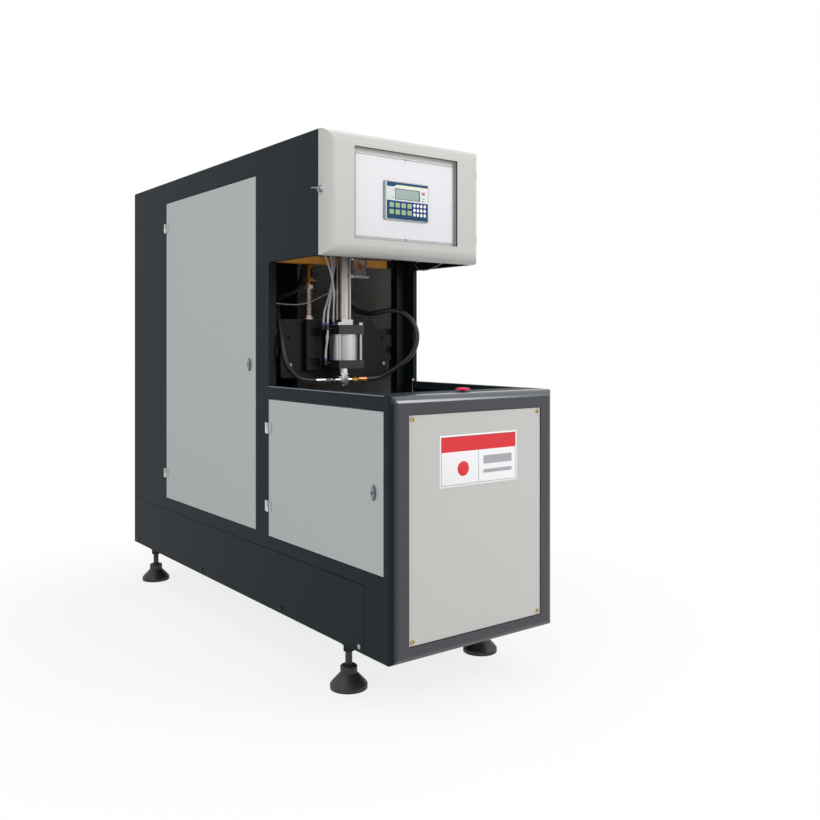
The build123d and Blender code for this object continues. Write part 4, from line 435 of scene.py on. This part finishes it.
def add_turned(shape, profile, place, axis="Z", steps=32):
    """Adds a turned part: (radius, height) points spun round an axis that starts at a place."""
    lathe = bmesh.new()
    made = [lathe.verts.new((radius, 0.0, height)) for radius, height in profile]
    edges = [lathe.edges.new(pair) for pair in zip(made, made[1:])]
    bmesh.ops.spin(lathe, geom=made + edges, cent=(0, 0, 0), axis=(0, 0, 1), angle=math.tau, steps=steps,
                   use_merge=True)
    bmesh.ops.remove_doubles(lathe, verts=lathe.verts, dist=1e-6)
    turn = {"Z": Matrix.Identity(4), "-Y": Matrix.Rotation(math.radians(90), 4, "X"),
            "-X": Matrix.Rotation(math.radians(-90), 4, "Y"), "X": Matrix.Rotation(math.radians(90), 4, "Y")}
    bmesh.ops.transform(lathe, matrix=Matrix.Translation(place) @ turn[axis], verts=lathe.verts)
    join_shape(shape, lathe)


def add_block(shape, low, high, rim=0.0006):
    """Adds a box between two corners, with softened edges."""
    low, high = Vector(low), Vector(high)
    spot = Matrix.Translation((low + high) / 2) @ Matrix.Diagonal((*(high - low), 1.0))
    corners = bmesh.ops.create_cube(shape, size=1.0, matrix=spot)["verts"]
    edges = {edge for corner in corners for edge in corner.link_edges}
    bmesh.ops.bevel(shape, geom=list(edges), offset=rim, segments=2, profile=0.5, affect="EDGES", material=-1)


print("piece helpers ready")

# %% [markdown]
# The two blow hoses are rubber. Their lines are NURBS curves through the same route points as the CAD's,
# and each is swept into a fixed tube, which does not bend when the nozzle drops by 25 mm onto the preform.
# The air tubes are thin clear nylon and stay put, so they remain curves.

# %% Hoses and tubes
def route(name, points, radius):
    """A NURBS curve through a route's control points, with a round section, its path and its length."""
    data = bpy.data.curves.new(name, "CURVE")
    data.dimensions = "3D"
    data.resolution_u = 10
    data.bevel_resolution = 5
    data.use_fill_caps = True
    spline = data.splines.new("NURBS")
    spline.points.add(len(points) - 1)
    for point, place in zip(spline.points, points):
        point.co = (*place, 1.0)
    spline.order_u = 3
    spline.use_endpoint_u = True
    line = bpy.data.objects.new(name, data)
    bpy.context.scene.collection.objects.link(line)
    path = [vertex.co.copy() for vertex in bpy.data.meshes.new_from_object(line).vertices]
    data.bevel_depth = radius
    length = sum((b - a).length for a, b in zip(path, path[1:]))
    return line, path, length


left_points = [
    (-0.132, -0.320, 1.020), (-0.186, -0.320, 1.020), (-0.234, -0.325, 1.043), (-0.268, -0.326, 1.089),
    (-0.279, -0.319, 1.149), (-0.273, -0.295, 1.209), (-0.273, -0.269, 1.270), (-0.261, -0.240, 1.323),
    (-0.226, -0.208, 1.357), (-0.180, -0.175, 1.364), (-0.134, -0.159, 1.378), (-0.098, -0.146, 1.412),
    (-0.080, -0.140, 1.458), (-0.080, -0.140, 1.500)]
right_points = [
    (0.106, -0.320, 1.020), (0.154, -0.320, 1.020), (0.198, -0.332, 1.036), (0.243, -0.368, 1.071),
    (0.282, -0.404, 1.116), (0.299, -0.419, 1.171), (0.299, -0.415, 1.224), (0.283, -0.397, 1.268),
    (0.255, -0.367, 1.297), (0.223, -0.331, 1.305), (0.191, -0.293, 1.294), (0.163, -0.248, 1.288),
    (0.127, -0.196, 1.309), (0.096, -0.157, 1.366), (0.080, -0.140, 1.440), (0.080, -0.140, 1.500)]
hose_diameter, tube_diameter, cable_diameter = 0.0208, 0.008, 0.004
for name, points in (("left", left_points), ("right", right_points)):
    line, path, length = route("blow_hose_line_" + name, points, hose_diameter / 2)
    tube = bpy.data.objects.new("rubber_hose_" + name, bpy.data.meshes.new_from_object(line))
    bpy.data.objects.remove(line)
    tube.data.shade_smooth()
    tube.data.materials.clear()
    tube.data.materials.append(hose_rubber)
    bpy.context.scene.collection.objects.link(tube)
    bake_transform(tube)
    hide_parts("blow_hose_" + name)
    print("hose", name, round(length, 3), "m")

tube_routes = {
    "air_tube_upper": [
        (-0.087, -0.308, 1.245), (-0.087, -0.308, 1.285), (-0.068, -0.306, 1.333), (-0.055, -0.308, 1.383),
        (-0.045, -0.311, 1.433), (-0.039, -0.315, 1.484), (-0.037, -0.306, 1.527), (-0.035, -0.279, 1.557),
        (-0.032, -0.233, 1.561), (-0.030, -0.190, 1.548), (-0.030, -0.170, 1.548)],
    "air_tube_middle": [
        (-0.087, -0.340, 1.245), (-0.087, -0.340, 1.285), (-0.073, -0.332, 1.335), (-0.056, -0.325, 1.391),
        (-0.054, -0.323, 1.441), (-0.055, -0.320, 1.484), (-0.055, -0.310, 1.527), (-0.056, -0.283, 1.557),
        (-0.055, -0.235, 1.561), (-0.055, -0.190, 1.548), (-0.055, -0.170, 1.548)],
    "air_tube_cover": [
        (-0.051, -0.324, 1.252), (-0.051, -0.324, 1.299), (-0.055, -0.337, 1.355), (-0.068, -0.346, 1.411),
        (-0.082, -0.347, 1.461), (-0.098, -0.343, 1.500), (-0.094, -0.322, 1.544), (-0.086, -0.276, 1.552),
        (-0.080, -0.222, 1.550), (-0.080, -0.170, 1.548)],
    "air_tube_lower": [
        (-0.087, -0.324, 1.107), (-0.087, -0.324, 1.142), (-0.087, -0.340, 1.183), (-0.087, -0.340, 1.218)],
    "switch_cable": [
        (-0.290, -0.280, 1.322), (-0.236, -0.281, 1.318), (-0.184, -0.283, 1.318), (-0.136, -0.284, 1.329),
        (-0.092, -0.286, 1.349), (-0.058, -0.289, 1.368), (-0.033, -0.291, 1.372)],
}
for name, points in tube_routes.items():
    diameter = cable_diameter if name == "switch_cable" else tube_diameter
    line, path, length = route(name, points, diameter / 2)
    line.data.materials.append(cable_vinyl if name == "switch_cable" else tube_plastic)
    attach(line, "machine")
    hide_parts("air_tubes")
print("thin tubes:", len(tube_routes))

# %% [markdown]
# The text display is a membrane panel on a moulded bezel, 200 by 140 mm. Its printed foil has a blue head
# strip, a pale middle with the liquid crystal window and a red key, and a blue field with green and white
# keys. The keys are domes pressed into the foil, 0.6 mm high. They carry no letters.

# %% Display
display_width, display_height, display_top = 0.2, 0.14, 1.754
face_y = -0.744
print_back, print_front, window_front = face_y - 0.0003, face_y - 0.0006, face_y - 0.0012


def foil(u, v):
    """A spot on the display face from its top left corner, as shares of its width and height."""
    return (-display_width / 2 + display_width * u, display_top - display_height * v)


def foil_rectangle(u0, u1, v0, v1, radius=0.0004, steps=3):
    """The outline of a printed field or a key on the display face."""
    (x0, z1), (x1, z0) = foil(u0, v0), foil(u1, v1)
    return rounded(x0, x1, z0, z1, radius, steps)


def dome_keys(shape, places, width, height, radius):
    """Adds keys whose tops are drawn in twice, so that they look like domes in a foil."""
    for u, v in places:
        x, z = foil(u, v)
        outline = rounded(x - width / 2, x + width / 2, z - height / 2, z + height / 2, radius, 4)
        foot = shape.faces.new([shape.verts.new((px, print_front, pz)) for px, pz in outline])
        for inset, lift in ((0.0006, 0.0004), (0.0014, 0.0002)):
            bmesh.ops.inset_region(shape, faces=[foot], thickness=inset, depth=0.0, use_even_offset=True)
            bmesh.ops.translate(shape, verts=foot.verts[:], vec=(0.0, -lift, 0.0))


slab_piece("display_foil", [foil_rectangle(0.03, 0.99, 0.012, 0.985, 0.003)], face_y, face_y - 0.0004,
           foil_print, "control_box_door", 0.0002)
head_strip = [foil(0.05, 0.14), foil(0.2, 0.14), foil(0.28, 0.085), foil(0.985, 0.085), foil(0.985, 0.02),
              foil(0.05, 0.02)]
slab_piece("display_blue_fields", [head_strip, foil_rectangle(0.05, 0.985, 0.5, 0.975, 0.0015)],
           print_back, print_front, foil_blue, "control_box_door")
slab_piece("display_pale_strip", [foil_rectangle(0.285, 0.985, 0.098, 0.135)],
           print_back, print_front, foil_cream, "control_box_door")
slab_piece("display_window_frame", [foil_rectangle(0.235, 0.80, 0.178, 0.462, 0.001)],
           print_back, window_front, black_plastic, "control_box_door", 0.0003)
slab_piece("display_window_glass", [foil_rectangle(0.243, 0.775, 0.200, 0.452, 0.0006)],
           window_front, face_y - 0.0014, crystal_glass, "control_box_door")
green_places = [(u, v) for u in (0.155, 0.290, 0.425, 0.560) for v in (0.61, 0.79)]
white_places = [(u, v) for u in (0.672, 0.752, 0.832, 0.912) for v in (0.58, 0.7, 0.82)]
for name, places, width, height, radius, finish in (
    ("display_green_keys", green_places, 0.0195, 0.017, 0.003, key_green),
    ("display_white_keys", white_places, 0.0105, 0.0118, 0.0045, key_white),
    ("display_red_key", [(0.88, 0.245)], 0.014, 0.0095, 0.002, key_red),
):
    keys = bmesh.new()
    dome_keys(keys, places, width, height, radius)
    add_piece(name, keys, finish, "control_box_door")
lamps = bmesh.new()
for v in (0.235, 0.41):
    x, z = foil(0.19, v)
    add_turned(lamps, [(0.0, 0.0012), (0.0016, 0.0009), (0.0024, 0.0)], (x, print_back, z), "-Y", 16)
for v in (0.36, 0.43):
    add_slab(lamps, foil_rectangle(0.855, 0.905, v, v + 0.03, 0.001), print_back, print_front, 0.0)
add_piece("display_status_lamps", lamps, lamp_green, "control_box_door")
print("display keys:", len(green_places) + len(white_places))

# %% [markdown]
# The front panel carries a thin white plate. It is bare of words: a red head band, a thin grey border,
# a dividing line, one red disc at the left and two pale grey strips at the right.

# %% Plate on the front panel
plate_back, plate_front = -1.137, -1.1382
field_back, field_front = plate_back - 0.0010, plate_back - 0.0014
slab_piece("front_plate", [rounded(-0.165, 0.174, 0.7033, 0.8715, 0.004)],
           plate_back, plate_front, plate_white, "machine", 0.0004)
divider = rounded(0.0, 0.0012, 0.7098, 0.8165, 0.0004, 2)
slab_piece("front_plate_border", [*border(-0.159, 0.168, 0.7085, 0.8661, 0.0013), divider],
           field_back, field_front, print_line, "machine")
grey_strips = [rounded(0.022, 0.150, z0, z1, 0.003) for z0, z1 in ((0.768, 0.796), (0.738, 0.750))]
slab_piece("front_plate_strips", grey_strips, field_back, field_front, print_grey, "machine")
band = bmesh.new()
add_slab(band, rounded(-0.1577, 0.1667, 0.8165, 0.8648, 0.001), field_back, field_front, 0.0)
add_turned(band, [(0.0, 0.0003), (0.024, 0.0003), (0.0245, 0.0)], (-0.066, plate_front, 0.760), "-Y", 48)
add_piece("front_plate_red", band, print_red, "machine")

# %% [markdown]
# The inset plate of the control box is held by small screws and printed with one thin border line.
# A dark brown grey strip lines the front half of its recess: painted shade where the recess walls lie in
# shadow.

# %% Control box details
recess_low, recess_high, recess_side, box_front = 1.534, 1.859, 0.2345, -0.753
shade_front, shade_back, shade_sunk, shade_proud = box_front + 0.0006, box_front + 0.0085, 0.0004, 0.0015
# The dark strip along the recess walls is painted shade.
shade_strip = bmesh.new()
add_block(shade_strip, (-recess_side, shade_front, recess_high - shade_proud),
          (recess_side, shade_back, recess_high + shade_sunk), 0.0003)
for side in (-1, 1):
    near, far = sorted((side * (recess_side + shade_sunk), side * (recess_side - shade_proud)))
    add_block(shade_strip, (near, shade_front, recess_low), (far, shade_back, recess_high), 0.0003)
add_piece("recess_shade_strip", shade_strip, recess_shade_rubber, "control_box_door")
inset_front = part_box("inset_plate")[0].y
line_x, line_low, line_high = 0.2235, 1.5450, 1.8380
slab_piece("inset_plate_line", border(-line_x, line_x, line_low, line_high, 0.0012),
           inset_front + 0.0001, inset_front - 0.0003, print_line, "control_box_door")
plate_screws = bmesh.new()
middle = (line_low + line_high) / 2
screw_places = ((0, line_high), (0, line_low), (-line_x, middle), (line_x, middle),
                (-line_x, line_high), (line_x, line_high), (-line_x, line_low), (line_x, line_low))
for x, z in screw_places:
    radius = 0.0034 if x == 0 or z == middle else 0.0022
    dome = [(0.0, 0.0014), (radius * 0.5, 0.0013), (radius * 0.85, 0.0008), (radius, 0.0)]
    add_turned(plate_screws, dome, (x, inset_front + 0.0001, z), "-Y", 20)
add_piece("inset_plate_screws", plate_screws, latch_zinc, "control_box_door")
print("inset plate screws:", len(screw_places))

# %% [markdown]
# The quarter-turn latches have a black lock core in the middle of the grip.
# The brass screws of the front panel have cross recesses, drawn as flat dark olive crosses of painted shade.

# %% Latch cores and screw recesses
latch_face = 0.3624
core_profile = [(0.0, 0.0012), (0.0042, 0.0012), (0.0052, 0.0005), (0.0056, 0.0)]
for side, name in ((-1, "left"), (1, "right")):
    for level, y, z in (("tall", -0.196, 1.083), ("low", -1.044, 0.697)):
        core = bmesh.new()
        add_turned(core, core_profile, (side * latch_face, y, z), "-X" if side < 0 else "X", 24)
        add_piece("latch_core_" + level + "_" + name, core, black_plastic, level + "_latch_" + name)
panel_face = -1.1399
# The flat crosses are painted shade in the screw recesses.
recesses = bmesh.new()
for x in (-0.2725, 0.2725):
    for z in (0.236, 0.929):
        for turn in (20, 110):
            bar = bmesh.new()
            add_slab(bar, rounded(-0.0042, 0.0042, -0.0009, 0.0009, 0.0004, 2), 0.0, -0.0004, 0.0)
            turned = Matrix.Rotation(math.radians(turn + 30 * x), 4, "Y")
            bmesh.ops.transform(bar, matrix=Matrix.Translation((x, panel_face, z)) @ turned, verts=bar.verts)
            join_shape(recesses, bar)
add_piece("panel_screw_recesses", recesses, recess_shade_olive, "machine")
print("latch cores and screw recesses ready")

# %% [markdown]
# A foam strip is glued behind the sheet under each low door. It stands on the lip of the opening and closes
# the 3 mm gap from inside, 0.7 mm under the door's edge, so the door passes over it.

# %% Foam strips under the low doors
foam_seal = plain_finish("Black foam door seal", "#0C0D0E", 0.85, IOR=1.5, Specular_IOR_Level=0.1)
sheet_inside, foam_inside = 0.3498, 0.3450
for side, name in ((-1, "left"), (1, "right")):
    strip = bmesh.new()
    near, far = sorted((side * sheet_inside, side * foam_inside))
    add_block(strip, (near, -1.090, 0.4230), (far, -0.342, 0.4403))
    add_piece("door_seal_" + name, strip, foam_seal, "machine")
print("foam strips", round((sheet_inside - foam_inside) * 1000, 1), "mm thick")

# %% [markdown]
# The height screw has a 6 mm pitch trapezoidal thread. Its turns are drawn as rings on the free lengths
# between the nuts, which looks the same from any side and keeps the mesh light.

# %% Height screw thread
thread = bmesh.new()
screw_x, screw_y = -0.124, -0.254
pitch, root, crest = 0.006, 0.0121, 0.0150
for low, high in ((1.279, 1.385), (1.400, 1.413), (1.428, 1.466)):
    for turn in range(int((high - low) / pitch)):
        z = low + turn * pitch
        ring = [(root - 0.0004, 0.0), (root, 0.0010), (crest, 0.0026), (crest, 0.0038), (root, 0.0054),
                (root - 0.0004, 0.0060)]
        add_turned(thread, ring, (screw_x, screw_y, z), "Z", 20)
add_piece("height_screw_thread", thread, screw_steel, "machine")
grease_nipple = bmesh.new()
add_turned(grease_nipple, [(0.0, 0.0), (0.0042, 0.0), (0.0042, 0.007), (0.0026, 0.009), (0.0026, 0.013),
                           (0.0034, 0.014), (0.0034, 0.016), (0.0, 0.017)], (-0.111, -0.262, 1.419), "X", 18)
add_piece("height_screw_nipple", grease_nipple, brass, "machine")
print("thread rings reach", round(crest * 2000, 1), "mm across")

# %% [markdown]
# The pressure switch has a copper brown bellows disc with a dark pointer behind its clear front, a dark rim
# round the clear box, and a brass nipple at the right. The disc's copper brown is a painted reflection of the
# orange beam.

# %% Pressure switch details
disc_x, disc_z, disc_face = 0.061, 1.479, -0.3484
bellows = bmesh.new()
for outer in (0.0155, 0.0115, 0.0075):
    wave = [(outer, 0.0), (outer, 0.0008), (outer - 0.0012, 0.0013), (outer - 0.0028, 0.0008), (0.0, 0.0008)]
    add_turned(bellows, wave, (disc_x, disc_face + 0.0013, disc_z), "-Y", 36)
add_piece("pressure_switch_bellows", bellows, copper_with_beam_reflection, "machine")
dark_bits = bmesh.new()
for outline in border(0.036, 0.098, 1.442, 1.508, 0.002):
    add_slab(dark_bits, outline, -0.3399, -0.3407, 0.0)
pointer = [(0.0500, 1.4900), (0.0520, 1.4915), (0.0725, 1.4685), (0.0705, 1.4670)]
add_slab(dark_bits, pointer, disc_face, disc_face - 0.0006, 0.0)
add_turned(dark_bits, [(0.0, 0.0010), (0.0022, 0.0008), (0.0026, 0.0)], (disc_x, disc_face, disc_z), "-Y", 16)
add_piece("pressure_switch_rim", dark_bits, black_plastic, "machine")
nipple = bmesh.new()
add_turned(nipple, [(0.0, 0.0), (0.0056, 0.0), (0.0056, 0.008), (0.0038, 0.0085), (0.0038, 0.016),
                    (0.0050, 0.0165), (0.0050, 0.024), (0.0, 0.024)], (0.098, -0.317, 1.488), "X", 24)
add_piece("pressure_switch_nipple", nipple, brass, "machine")
print("pressure switch dressed")

# %% [markdown]
# Two thin grey wires show as well: one hangs in a loop from the arm's right side, and one runs down
# from a white clip at the foot of the right post.

# %% Loose wires
wire_routes = {
    "arm_wire_loop": [
        (0.350, -0.392, 1.510), (0.320, -0.392, 1.508), (0.293, -0.408, 1.490), (0.2875, -0.440, 1.470),
        (0.2875, -0.483, 1.461), (0.2875, -0.555, 1.473), (0.280, -0.620, 1.488), (0.250, -0.640, 1.510),
        (0.240, -0.640, 1.541)],
    "post_wire": [
        (0.3290, -0.3500, 1.012), (0.3240, -0.3560, 1.004), (0.3220, -0.3570, 0.990),
        (0.3230, -0.3560, 0.972), (0.3230, -0.3560, 0.955)],
}
wire_diameter = 0.0036
for name, points in wire_routes.items():
    line, path, length = route(name, points, wire_diameter / 2)
    line.data.materials.append(cable_vinyl)
    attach(line, "machine")
clip = bmesh.new()
add_block(clip, (0.3255, -0.3530, 1.0085), (0.3345, -0.3462, 1.0155), 0.0012)
add_piece("post_wire_clip", clip, hinge_coat, "machine")
print("loose wires:", len(wire_routes))

# %% [markdown]
# Behind the box door, each device on the mounting plate gets its front: toggles on the breakers, screw rows
# on the contactors, and slotted wiring ducts between the rows. The fronts carry no print.

# %% Electrical devices
device_rows = ((3, 1.580, 0.090, -0.662), (9, 1.700, 0.042, -0.678), (5, 1.810, 0.072, -0.670))
breakers, row_start, row_length = 9, -0.225, 0.430
device_front = bmesh.new()
toggles = bmesh.new()
screw_dots = bmesh.new()
for count, z, width, front in device_rows:
    half = width * 0.40
    for number in range(count):
        x = row_start + number * row_length / (count - 1)
        cover = rounded(x - half, x + half, z - 0.020, z + 0.020, 0.002, 3)
        add_slab(device_front, cover, front, front - 0.004, 0.0008)
        if count == breakers:
            add_block(toggles, (x - 0.006, front - 0.013, z - 0.004),
                      (x + 0.006, front - 0.0042, z + 0.010), 0.0012)
        else:
            button = rounded(x - half * 0.5, x + half * 0.5, z - 0.008, z + 0.008, 0.001, 2)
            add_slab(toggles, button, front - 0.0035, front - 0.0055, 0.0004)
        for dot in (-1, 0, 1):
            for side in (-1, 1):
                spot = (x + dot * half * 0.62, front + 0.0002, z + side * 0.0285)
                add_turned(screw_dots, [(0.0, 0.0010), (0.0026, 0.0008), (0.0030, 0.0)], spot, "-Y", 12)
add_piece("device_fronts", device_front, device_grey, "machine")
add_piece("device_toggles", toggles, black_plastic, "machine")
add_piece("device_screws", screw_dots, latch_zinc, "machine")
duct_half, duct_teeth, tooth_pitch = 0.012, 40, 0.0136
ducts = bmesh.new()
for z in (1.640, 1.755):
    add_block(ducts, (-0.272, -0.630, z - duct_half), (0.272, -0.6005, z + duct_half), 0.001)
    for tooth in range(duct_teeth):
        x = -0.266 + tooth * tooth_pitch
        add_block(ducts, (x - 0.0045, -0.6335, z - 0.0125), (x + 0.0045, -0.6295, z + 0.0125), 0.0006)
add_piece("wiring_ducts", ducts, duct_plastic, "machine")
print("devices:", sum(row[0] for row in device_rows))

# %% [markdown]
# The emergency stop has a broad moulded mushroom cap, 50 mm across, that moves with the button.

# %% Emergency stop cap
stop_place, cap_height = (0.0, -1.058, 1.0108), 0.0076
cap_profile = [(0.0, 0.0), (0.0235, 0.0), (0.0250, 0.0012), (0.0250, 0.0032), (0.0235, 0.0052),
               (0.0190, 0.0066), (0.0110, 0.0074), (0.0, cap_height)]
mushroom = bmesh.new()
add_turned(mushroom, cap_profile, stop_place, "Z", 48)
add_piece("emergency_stop_cap", mushroom, red_plastic, "stop_button", crisp=50)
print("stop cap top", round(stop_place[2] + cap_height, 4), "m")

# %% [markdown]
# The main switch on the back is the usual red knob on a yellow plate, which faces away from the front.

# %% Main switch plate
half = 0.032
switch_plate = bmesh.new()
add_slab(switch_plate, rounded(-half, half, -half, half, 0.004, 4), 0.0, -0.0006, 0.0)
at_the_back = Matrix.Translation((0.311, 1.0681, 1.400)) @ Matrix.Rotation(math.pi, 4, "Z")
bmesh.ops.transform(switch_plate, matrix=at_the_back, verts=switch_plate.verts)
add_piece("main_switch_plate", switch_plate, yellow_plastic, "machine")
print("main switch plate", round(half * 2000), "mm wide")

# %% [markdown]
# The studio is a wide white floor that never ends in the frame, with a white world behind it.
# Both show pure white to the camera and to reflections, but light the object at a lower, plain level.
# Round the machine the floor's glow gives way to its paint, so that the soft shadow shows there.

# %% Floor and world
def any_ray(tree, *kinds):
    """A socket that is 1 where the light path is of one of these kinds."""
    rays = add_node(tree, "ShaderNodeLightPath")
    found = rays.outputs[kinds[0]]
    for kind in kinds[1:]:
        found = add_node(tree, "ShaderNodeMath", {}, {0: found, 1: rays.outputs[kind]},
                         operation="MAXIMUM").outputs[0]
    return found


pure_white = paint("#FFFFFF")
floor_mesh = bpy.data.meshes.new("Studio floor")
floor_shape = bmesh.new()
bmesh.ops.create_grid(floor_shape, x_segments=1, y_segments=1, size=40.0)
floor_shape.to_mesh(floor_mesh)
floor_shape.free()
floor = bpy.data.objects.new("Studio floor", floor_mesh)
bpy.context.scene.collection.objects.link(floor)
floor_paint = plain_finish("White studio floor", "#F4F4F4", 0.9)
floor_tree = floor_paint.node_tree
floor_shader = floor_tree.nodes["Principled BSDF"]
place = add_node(floor_tree, "ShaderNodeTexCoord")
reach = add_node(floor_tree, "ShaderNodeVectorMath", {}, {0: place.outputs["Object"]}, operation="LENGTH")
fade = add_node(floor_tree, "ShaderNodeMapRange",
                {"From Min": 0.9, "From Max": 2.1, "To Min": 0.82, "To Max": 1.0},
                {"Value": reach.outputs["Value"]}, interpolation_type="SMOOTHSTEP")
floor_seen = any_ray(floor_tree, "Is Camera Ray", "Is Glossy Ray")
floor_share = add_node(floor_tree, "ShaderNodeMath", {}, {0: floor_seen, 1: fade.outputs["Result"]},
                       operation="MULTIPLY")
floor_glow = add_node(floor_tree, "ShaderNodeEmission", {"Color": pure_white, "Strength": 1.0})
floor_mix = add_node(floor_tree, "ShaderNodeMixShader", {},
                     {0: floor_share.outputs[0], 1: floor_shader.outputs["BSDF"], 2: floor_glow.outputs[0]})
floor_tree.links.new(floor_mix.outputs[0], floor_tree.nodes["Material Output"].inputs["Surface"])
floor_mesh.materials.append(floor_paint)

world = bpy.data.worlds.new("Studio world")
bpy.context.scene.world = world
world.use_nodes = True
world_tree = world.node_tree
world_tree.nodes.clear()
soft_light = add_node(world_tree, "ShaderNodeBackground", {"Color": pure_white, "Strength": 0.4})
seen_white = add_node(world_tree, "ShaderNodeBackground", {"Color": pure_white, "Strength": 1.0})
shown = any_ray(world_tree, "Is Camera Ray", "Is Glossy Ray", "Is Transmission Ray")
mixed = add_node(world_tree, "ShaderNodeMixShader", {},
                 {0: shown, 1: soft_light.outputs[0], 2: seen_white.outputs[0]})
add_node(world_tree, "ShaderNodeOutputWorld", {}, {"Surface": mixed.outputs[0]})
print("floor and world ready")

# %% [markdown]
# Three large soft boxes light it: the key from the front right, so that the front is brighter than the side,
# a weaker fill from the left, and one overhead. All are big, so the shadows on the floor are soft.

# %% Lamps
def soft_box(name, place, aim, size, watts):
    """A square area lamp that looks at a point."""
    data = bpy.data.lights.new(name, "AREA")
    data.shape = "SQUARE"
    data.size = size
    data.energy = watts
    lamp = bpy.data.objects.new(name, data)
    bpy.context.scene.collection.objects.link(lamp)
    lamp.location = place
    lamp.rotation_euler = (Vector(aim) - Vector(place)).to_track_quat("-Z", "Y").to_euler()
    return lamp


key = soft_box("Key soft box", (2.2, -4.6, 3.6), (0.0, -0.6, 0.9), 2.6, 125)
fill = soft_box("Left soft box", (-4.6, -1.2, 3.0), (0.0, 0.0, 0.9), 3.0, 55)
overhead = soft_box("Top soft box", (0.0, 0.0, 5.2), (0.0, 0.0, 0.0), 3.5, 85)
bpy.context.scene.view_settings.view_transform = "Standard"
print("lamps:", key.name, fill.name, overhead.name)
